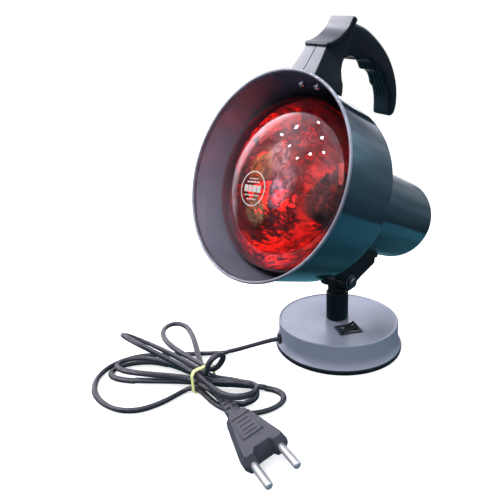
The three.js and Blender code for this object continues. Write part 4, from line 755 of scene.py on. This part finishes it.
# Three fine grooves along the grip
grip = catmull_2d(hook_line, 4, loop=True)[20:58]
grooves = []
for place_x in (-3.4, 0, 3.4):
    beside = []
    for depth in (-1.5, 0.55):
        line = []
        for k, (x, y) in enumerate(grip):
            ahead, behind = grip[min(k + 1, len(grip) - 1)], grip[max(k - 1, 0)]
            along = Vector((ahead[0] - behind[0], ahead[1] - behind[1])).normalized()
            line.append((x - along.y * depth, y + along.x * depth))
        beside.append(line)
    grooves.append(placed(plate(beside[0] + beside[1][::-1], 0.35, 0), shift(place_x)))
handle_bm = solved(solved(foot, [hook, cap], "UNION"), [wall, mould_line] + grooves)
handle_skin = add("handle_skin", handle_bm, HANDLE, black_plastic, "head", "black_plastic", "handle")


# ---- Mains cord: the part's own route, free stretch then hank

HALF_WIDTH, HALF_HEIGHT = 2.3, 1.95
tie_x, tie_y, pitch, lowest = -32, -127, 5.6, 1.2 + 0.6 + 2.3
exit_r = BASE_RADIUS + 1.4
free_route = [
    (-57.4, -81.7, 3.2), (-69, -94, 2.6), (-84, -109, 2.6), (-99, -124, 2.6), (-109.5, -136, 2.6),
    (-115.5, -151, 2.6), (-115, -166, 2.6), (-108, -179, 2.6), (-95, -188, 2.6), (-81, -191, 2.6),
    (-67, -190, 2.6), (-55, -185.5, 2.6), (-46, -177, 2.6), (-41.5, -166, 2.7),
    (-40, -155.2, 3), (-40, -150.6, 3), (-40, -146, 3)]
# Passes through the tie: (layer, place in it). Loops: (side, reach, bend along Y, half width, squareness,
# height of the tip, lean, how late it rises)
passes = [(0, 0), (0, 2), (0, 1), (1, 2), (2, 2), (2, 1), (2, 0), (1, 1), (1, 0)]
loops = [
    (1, 54, 23.8, 15.5, 0.69, 2.6, 0, 1), (-1, 74.7, -38, 15, 1, 2.6, 0, 1),
    (1, 38.6, 12.9, 8.8, 0.69, 4.3, 0.12, 1.06), (-1, 94.5, 28.6, 13.8, 1, 9.5, 0, 1),
    (1, 15, -0.8, 6.4, 1.11, 38.2, -0.05, 1.5), (-1, 88.5, -12, 13, 1, 20, -0.7, 1),
    (1, 47, 8.8, 10.9, 0.96, 18, 0, 1), (-1, 72.5, -29, 11, 1, 7.8, 0, 1)]


def pass_place(k):
    """Where the cord passes through the tie for the k-th time."""
    layer, along_y = passes[k]
    return tie_y + (along_y - 1) * pitch, lowest + layer * pitch


def hank_points():
    """The tied bundle: loop after loop to either side, each a curve between two passes through the tie."""
    first_y, first_z = pass_place(0)
    points = [(-40, -145.7, 3), (-40, -141.4, 3), (-40 + pitch / 6, first_y - pitch, (3 + first_z) / 2),
              (-35.5 - pitch / 3, first_y - pitch / 4, first_z), (-35.5, first_y, first_z)]
    for k, (side, reach, bend_by, half, square, tip, lean, late) in enumerate(loops):
        (y0, z0), (y1, z1) = pass_place(k), pass_place(k + 1)
        hand = -1 if y1 > y0 else 1
        cosine = -square / (1 + square)
        widest = sqrt(1 - cosine * cosine) * ((1 - cosine) / 2) ** square
        for i in range(17):
            t = i / 16
            angle = 2 * pi * t
            out = (1 - cos(angle)) / 2
            across = t * t * (3 - 2 * t)
            wave = hand * half * sin(angle) * out ** square / widest
            points.append((
                tie_x + side * (3.5 + reach * out),
                y0 + (y1 - y0) * across + bend_by * out ** 1.2 + wave * cos(lean),
                z0 + (z1 - z0) * across + (tip - (z0 + z1) / 2) * out ** late + wave * sin(lean)))
    last_y, last_z = pass_place(-1)
    tail, end = PLUG @ Vector((-4.9, 0, 0)), PLUG @ Vector((-0.3, 0, 0))
    middle = ((-28.5 + tail.x) / 2, (last_y + tail.y) / 2 - pitch / 4, (last_z + tail.z) / 2)
    return points + [(-28.5, last_y, last_z), middle, tuple(tail), tuple(end)]


def eased(points):
    """The hank's route with its corners eased, as in the part's own source."""
    line = evenly(catmull(points, 12), 5)
    for _ in range(2):
        middle = [(line[i - 1] + line[i] * 2 + line[i + 1]) / 4 for i in range(2, len(line) - 2)]
        line = line[:2] + middle + line[-2:]
    return catmull(line, 6)


heading = radians(EXIT_ANGLE)
way_out = [(r * cos(heading), r * sin(heading), EXIT_HEIGHT) for r in (exit_r + 0.3, exit_r + 4.9)]
route = evenly(catmull(way_out + free_route, 16)[:-1] + eased(hank_points()), 1.5)

# The flat cord's outline, with a shallow groove along both wide faces
section = []
for i in range(24):
    a = 2 * pi * i / 24
    x = HALF_WIDTH * cos(a)
    section.append((x, HALF_HEIGHT * sin(a) * (1 - 0.16 * exp(-(x / 0.6) ** 2))))

# It twists slowly on its way, and lies on the floor where the route runs low
rings, centres = [], []
travelled = 0
for i, (point, (tangent, side, over)) in enumerate(zip(route, frames(route))):
    if i:
        travelled += (route[i] - route[i - 1]).length
    twist = 0.9 * sin(travelled / 61) + 0.6 * sin(travelled / 23 + 1)
    twist *= min(1, travelled / 40)
    wide = side * cos(twist) + over * sin(twist)
    thin = tangent.cross(wide)
    half_height = hypot(HALF_WIDTH * wide.z, HALF_HEIGHT * thin.z) + 0.06
    low = max(0.0, min(1.0, (9 - point.z) / 5))
    drop = (point.z - half_height) if point.z < 3.2 else (2.5 - half_height) * low
    centre = point - Vector((0, 0, max(0, drop) * min(1, travelled / 45)))
    centres.append(centre)
    rings.append([centre + wide * x + thin * y for x, y in section])
mains_cord = add("mains_cord", loft(rings), STILL, cord_plastic, "base", "cord_sheath", "cord_free",
                 "cord_hank", angle=60)


# ---- Tie round the hank

def band(points, wide, thick):
    """A closed strap with its flat side facing the bundle."""
    sections = []
    count = len(points)
    middle = sum(points, Vector()) / count
    for i, point in enumerate(points):
        along = (points[(i + 1) % count] - points[i - 1]).normalized()
        out = point - middle
        out.x = 0
        out = (out - along * out.dot(along)).normalized()
        flat = along.cross(out)
        sections.append([point + flat * wide * x + out * thick * y for x, y in
                         ((-0.5, -0.5), (-0.5, 0.3), (-0.35, 0.5), (0.35, 0.5), (0.5, 0.3), (0.5, -0.5))])
    return loft(sections, closed=True)


CORNER = 3.4
half_y = pitch + HALF_WIDTH + 1.9
near, far = tie_y + half_y - CORNER, tie_y - half_y + CORNER
high, low = lowest + 2 * pitch + HALF_WIDTH + 1.9 - CORNER, 0.7 + CORNER
loop_line = []
for cy, cz, begin in ((near, high, 0), (far, high, 90), (far, low, 180), (near, low, 270)):
    for k in range(9):
        a = radians(begin + 90 * k / 8)
        y, z = cy + CORNER * cos(a), cz + CORNER * sin(a)
        lean = 0.9 * (y - tie_y) / half_y
        loop_line.append(Vector((tie_x + lean + 0.4 * sin(3 * a), y, z)))
loop_line = evenly(loop_line + [loop_line[0].copy()], 0.8)[:-1]
strap = add("hank_tie", band(loop_line, 2.7, 0.9), STILL, tie_plastic, "base", "tie_plastic", "cord_tie")


# ---- Plug

def ring_at(x, half_y, half_z, power):
    """A ring across X that is an ellipse at power 2 and squarer above it."""
    result = []
    for i in range(40):
        a = 2 * pi * i / 40
        c, s = cos(a), sin(a)
        k = (abs(c) ** power + abs(s) ** power) ** (-1 / power)
        result.append(Vector((x, half_y * c * k, half_z * s * k)))
    return result


# The tail widens towards the plug and has slots in turn to either side, along its top and its bottom
TAIL_LENGTH = 30
tail_rings = [ring_at(0, 2.7, 2.4, 2)]
for i in range(21):
    t = i / 20
    tail_rings.append(ring_at(TAIL_LENGTH * t + 0.01, 3.0 + 2.6 * t ** 0.8, 2.7 + 2.6 * t ** 0.8, 2 + t))
slots = []
for i in range(4):
    from_x = 5.6 * (i + 1) - 1.1
    deep = 3.0 + 2.6 * (from_x / TAIL_LENGTH) ** 0.8 - 1.9
    for top, side in ((True, i), (True, i + 1), (False, i)):
        low_y, high_y = (0.7, 9) if side % 2 else (-9, -0.7)
        low_z, high_z = (deep, 9) if top else (-9, -deep)
        slots.append(box((from_x, low_y, low_z), (from_x + 3, high_y, high_z), 0.3, 2))
strain_relief = add("plug_tail", solved(loft(tail_rings), slots), PLUG, plug_plastic, "base", "plug_plastic",
                    "plug_strain_relief", angle=35)

low_half = [(30.3, -8.5), (34, -9.6), (62, -15), (68.6, -15), (70.3, -13.4), (70.3, -6.8), (66.6, -5.2)]
high_half = [(31.6, -5.4), (34, -6.4), (58, -11.2), (67.2, -12.6), (68.3, -11.8), (68.3, -6.8), (65.4, -5.2)]
layers = []
for half, level in ((high_half, -6.8), (low_half, -1.6), (low_half, 1.6), (high_half, 6.8)):
    layers.append([Vector((x, y, level)) for x, y in half + [(x, -y) for x, y in half[::-1]]])
PIN_PLACES = [shift(y=side * 9.5) @ ACROSS for side in (-1, 1)]
plug_bm = solved(loft(layers), [rod(2.7, 64, 80, place) for place in PIN_PLACES])
plug_skin = add("plug_skin", plug_bm, PLUG, plug_plastic, "base", "plug_plastic", "plug_body", angle=20)
soften(plug_skin, 0.9, 4, 20)

# A raised frame with plain bars in it
frame_bars = []
for low_x, high_x, low_y, high_y, top in (
        (36.5, 37.6, -6.9, 6.9, 7.5), (55.4, 56.5, -6.9, 6.9, 7.5), (36.5, 56.5, -7.4, -6.3, 7.5),
        (36.5, 56.5, 6.3, 7.4, 7.5), *((x, x + 1, -4, 4, 7.3) for x in (40.5, 44.5, 48.5, 52))):
    frame_bars.append(box((low_x, low_y, 6.6), (high_x, high_y, top), 0.25, 2))
plug_panel = add("plug_panel", merged(*frame_bars), PLUG, plug_plastic, "base", "plug_plastic", angle=35)

for place, name in zip(PIN_PLACES, ("plug_pin_1", "plug_pin_2")):
    pin = lathe(rounded([(0, 64.6), (2.4, 64.6), (2.4, 87.4), (1.6, 88.2), (0, 88.3)], 0.8, 5), 48)
    add(name + "_skin", pin, PLUG @ place, pin_metal, "base", "screw_steel", name)


# ---- Finishes of the CAD nodes that stay. They and the base keep out of reflections, for the shade's gloss.

for names, material in (
        ("ballast_ring", iron), ("inner_cord", cord_plastic), ("cord_clamp", black_plastic),
        ("switch_terminal_in switch_terminal_out bulb_cap lampholder_sleeve lampholder_contact", brass),
        ("lead_live lead_switched head_lead_left", red_lead), ("lead_neutral head_lead_right", blue_lead),
        ("base_screw_1 base_screw_2 base_screw_3 cord_clamp_screw post_washer post_nut pivot_nut "
         "bracket_screw_front bracket_screw_rear housing_screw_top housing_screw_bottom holder_plate "
         "holder_screw_left holder_screw_right handle_screw_left handle_screw_right", steel),
        ("friction_washer_left friction_washer_right", rubber), ("lampholder_body", porcelain)):
    for name in names.split():
        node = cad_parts[name]
        node.data.materials.clear()
        node.data.materials.append(material)
        node.visible_glossy = False
for piece in (base_skin, base_foot, switch_frame, switch_key, switch_marks):
    piece.visible_glossy = False


# ---- Floor: white to the camera, and dim and bluish in what it throws back at the piece

floor_material, graph, shader = new_material("floor", (0.8, 0.8, 0.8), roughness=0.8, specular=0.2)
graph.fill(shader, {"Emission Color": (1, 1, 1, 1), "Emission Strength": 0.45})
bounce = graph.node("BsdfDiffuse", {"Color": (0.2, 0.26, 0.35, 1)})
to_camera = graph.node("LightPath", {}).outputs["Is Camera Ray"]
surface = graph.mixed(to_camera, bounce.outputs[0], shader.outputs[0])
graph.fill(graph.nodes["Material Output"], {"Surface": surface})
floor_bm = bmesh.new()
bmesh.ops.create_grid(floor_bm, x_segments=1, y_segments=1, size=6000)
floor = finish_mesh("floor", floor_bm)
floor.data.materials.append(floor_material)
floor.visible_glossy = False


# ---- World. White to the camera, plain to diffuse surfaces, and a room with windows to what mirrors it.

world = bpy.data.worlds.new("studio")
world.use_nodes = True
world.node_tree.nodes.clear()
room = Graph(world.node_tree)
facing = room.node("TexCoord", {}).outputs["Generated"]
x, y, z = room.node("SeparateXYZ", {"Vector": facing}).outputs
height = room.number("MULTIPLY_ADD", z, 0.5, 0.5)
cloud = room.spread(room.noise(facing, 3.2, 4, 0.6), 0.45, 1.5, 0.35, 0.65)
streaks = room.spread(room.noise(facing, 13, 3, 0.6), 0.35, 1.6, 0.4, 0.6)

plain = room.ramp(height, [
    (0.0, (0.06, 0.08, 0.1)), (0.26, (0.16, 0.22, 0.26)), (0.5, (0.2, 0.21, 0.25)),
    (0.645, (0.42, 0.42, 0.48)), (0.75, (0.7, 0.7, 0.78)), (0.87, (1.0, 1.0, 1.1)), (1.0, (1.0, 1.0, 1.1))])

# A table, a dark edge below the horizon, walls and a pale ceiling
mirrored = room.scaled(room.ramp(height, [
    (0.0, (0.02, 0.075, 0.095)), (0.12, (0.028, 0.095, 0.125)), (0.262, (0.065, 0.21, 0.27)),
    (0.272, (0.03, 0.042, 0.05)), (0.4, (0.08, 0.105, 0.125)), (0.5, (0.18, 0.22, 0.25)),
    (0.645, (0.42, 0.42, 0.48)), (0.75, (0.8, 0.8, 0.92)), (0.87, (1.4, 1.38, 1.6)),
    (1.0, (1.3, 1.25, 1.5))]), cloud)


def with_glows(base, glows):
    """Adds soft round lights of (aim, cosine where it is full, cosine where it ends, strength, colour)."""
    for aim, inner, outer, strength, color in glows:
        length = sqrt(sum(v * v for v in aim))
        along = room.vector("DOT_PRODUCT", facing, tuple(v / length for v in aim))
        level = room.times(room.spread(along, 0.0, strength, outer, inner), streaks)
        base = room.vector("ADD", base, room.scaled(color, level))
    return base


# What the bulb's silvering mirrors, seen through the glass: a room dark overhead, with windows in front
overhead = room.vector("DOT_PRODUCT", facing, (0.45, 0.05, 0.89))
inside = room.scaled(mirrored, room.spread(overhead, 0.32, 0.06, 0.75, 0.92))
patches = room.spread(room.noise(facing, 8, 4, 0.55), 0.0, 4, 0.57, 0.62)
patches = room.times(patches, room.times(room.number("SUBTRACT", room.times(y, -1), 0.05), 4, True))
patches = room.times(patches, room.spread(x, 1.0, 0.35, 0.35, 0.65))
inside = room.vector("ADD", inside, room.scaled((1.0, 0.9, 0.88), patches))
inside = with_glows(inside, (
    ((0.1, -0.82, 0.56), 0.97, 0.82, 1.5, (1.0, 0.8, 0.7)),
    ((-0.6, -0.65, 0.45), 0.98, 0.92, 2.2, (1.0, 0.8, 0.7))))
mirrored = with_glows(mirrored, (
    ((0.45, 0.64, 0.6), 0.97, 0.8, 0.95, (0.45, 0.85, 1.0)),
    ((-0.8, 0.5, 0.33), 0.99, 0.8, 0.75, (0.95, 0.92, 1.0)),
    ((-0.74, 0.67, 0.02), 0.97, 0.86, 0.9, (1.0, 1.0, 1.0)),
    ((-0.72, -0.55, 0.43), 0.995, 0.985, 1.9, (1.0, 0.55, 0.12)),
    ((-0.54, -0.6, 0.58), 0.996, 0.984, 3.0, (1.0, 0.75, 0.85)),
    ((-0.44, -0.8, 0.4), 0.992, 0.97, 1.9, (0.75, 0.72, 0.9)),
    ((-0.48, -0.84, 0.26), 0.997, 0.985, 2.2, (0.5, 0.65, 1.0)),
    ((-0.71, -0.7, 0.03), 0.994, 0.98, 1.5, (0.8, 0.75, 0.4))))

# A long lamp that stands to the left, from the floor to nearly overhead
off_plane = room.number("ABSOLUTE", room.number("ADD", y, 0.09))
half_width = room.spread(z, 0.3, 0.09, 0.0, 0.75)
across = room.times(room.number("SUBTRACT", half_width, off_plane), 9, True)
to_left = room.times(room.number("SUBTRACT", room.times(x, -1), 0.42), 9, True)
above = room.times(room.number("ADD", z, 0.32), 8, True)
lamp = room.times(room.times(across, to_left), room.times(above, cloud))
lamp = room.times(lamp, room.spread(z, 1.5, 4.6, 0.1, 0.65))
mirrored = room.vector("ADD", mirrored, room.scaled((0.95, 0.86, 1.0), lamp))

path = room.node("LightPath", {}).outputs
through_glass = room.number("GREATER_THAN", path["Transmission Depth"], 0.5)
difference = room.vector("SUBTRACT", inside, mirrored)
mirrored = room.vector("ADD", mirrored, room.scaled(difference, through_glass))
surface = room.node("Background", {"Color": mirrored}).outputs[0]
for color, rays in ((plain, "Is Diffuse Ray"), ((1, 1, 1, 1), "Is Camera Ray")):
    surface = room.mixed(path[rays], surface, room.node("Background", {"Color": color}).outputs[0])
room.node("OutputWorld", {"Surface": surface})
bpy.context.scene.world = world
bpy.context.scene.view_settings.view_transform = "Standard"


# ---- Lights, in metres

def area_light(name, place, target, size, power, color=(1, 1, 1), shape="RECTANGLE", mirrored=True, lit=None):
    """A lamp aimed at a target. It can be left out of reflections, and can light one piece alone."""
    data = bpy.data.lights.new(name, "AREA")
    data.shape = shape
    data.size, data.size_y = size
    data.energy = power
    data.color = color
    light = new_object(name, data)
    aim = (Vector(target) - Vector(place)).to_track_quat("-Z", "Y")
    light.matrix_world = Matrix.Translation(place) @ aim.to_matrix().to_4x4()
    light.visible_glossy = mirrored
    if lit:
        light.light_linking.receiver_collection = bpy.data.collections.new(name)
        light.light_linking.receiver_collection.objects.link(lit)


area_light("left", (-1.3, 0.05, 0.6), (0, 0.05, 0.15), (0.35, 1.5), 13, (0.93, 0.9, 1.0), mirrored=False)
area_light("left_top", (-1.0, -0.25, 1.25), (0, -0.1, 0.15), (0.5, 0.8), 9, (0.93, 0.91, 1.0), mirrored=False)
area_light("front_right", (0.9, -0.9, 1.0), (0, -0.05, 0.12), (0.6, 0.5), 9, mirrored=False)
for i, place in enumerate(((-0.36, -0.613), (-0.976, -0.832), (-1.475, -1.031), (-0.109, -1.109),
                           (-1.146, -1.536), (-0.315, -1.796), (0.127, -1.615), (-0.809, -2.063))):
    area_light(f"spot_{i}", (*place, 2.0), (0, -0.1, 0.15), (0.075, 0.075), 2.2, shape="DISK")
area_light("handle_sheen", (-0.4, -0.47, 0.79), (0, -0.07, 0.23), (1.3, 1.3), 46, (0.9, 0.89, 1.0), "DISK",
           lit=handle_skin)
area_light("mouth_fill", (0.5, -0.9, 0.95), (-0.04, -0.12, 0.1), (0.5, 0.5), 40, (0.9, 0.9, 1.0), "DISK",
           mirrored=False, lit=shade_skin)
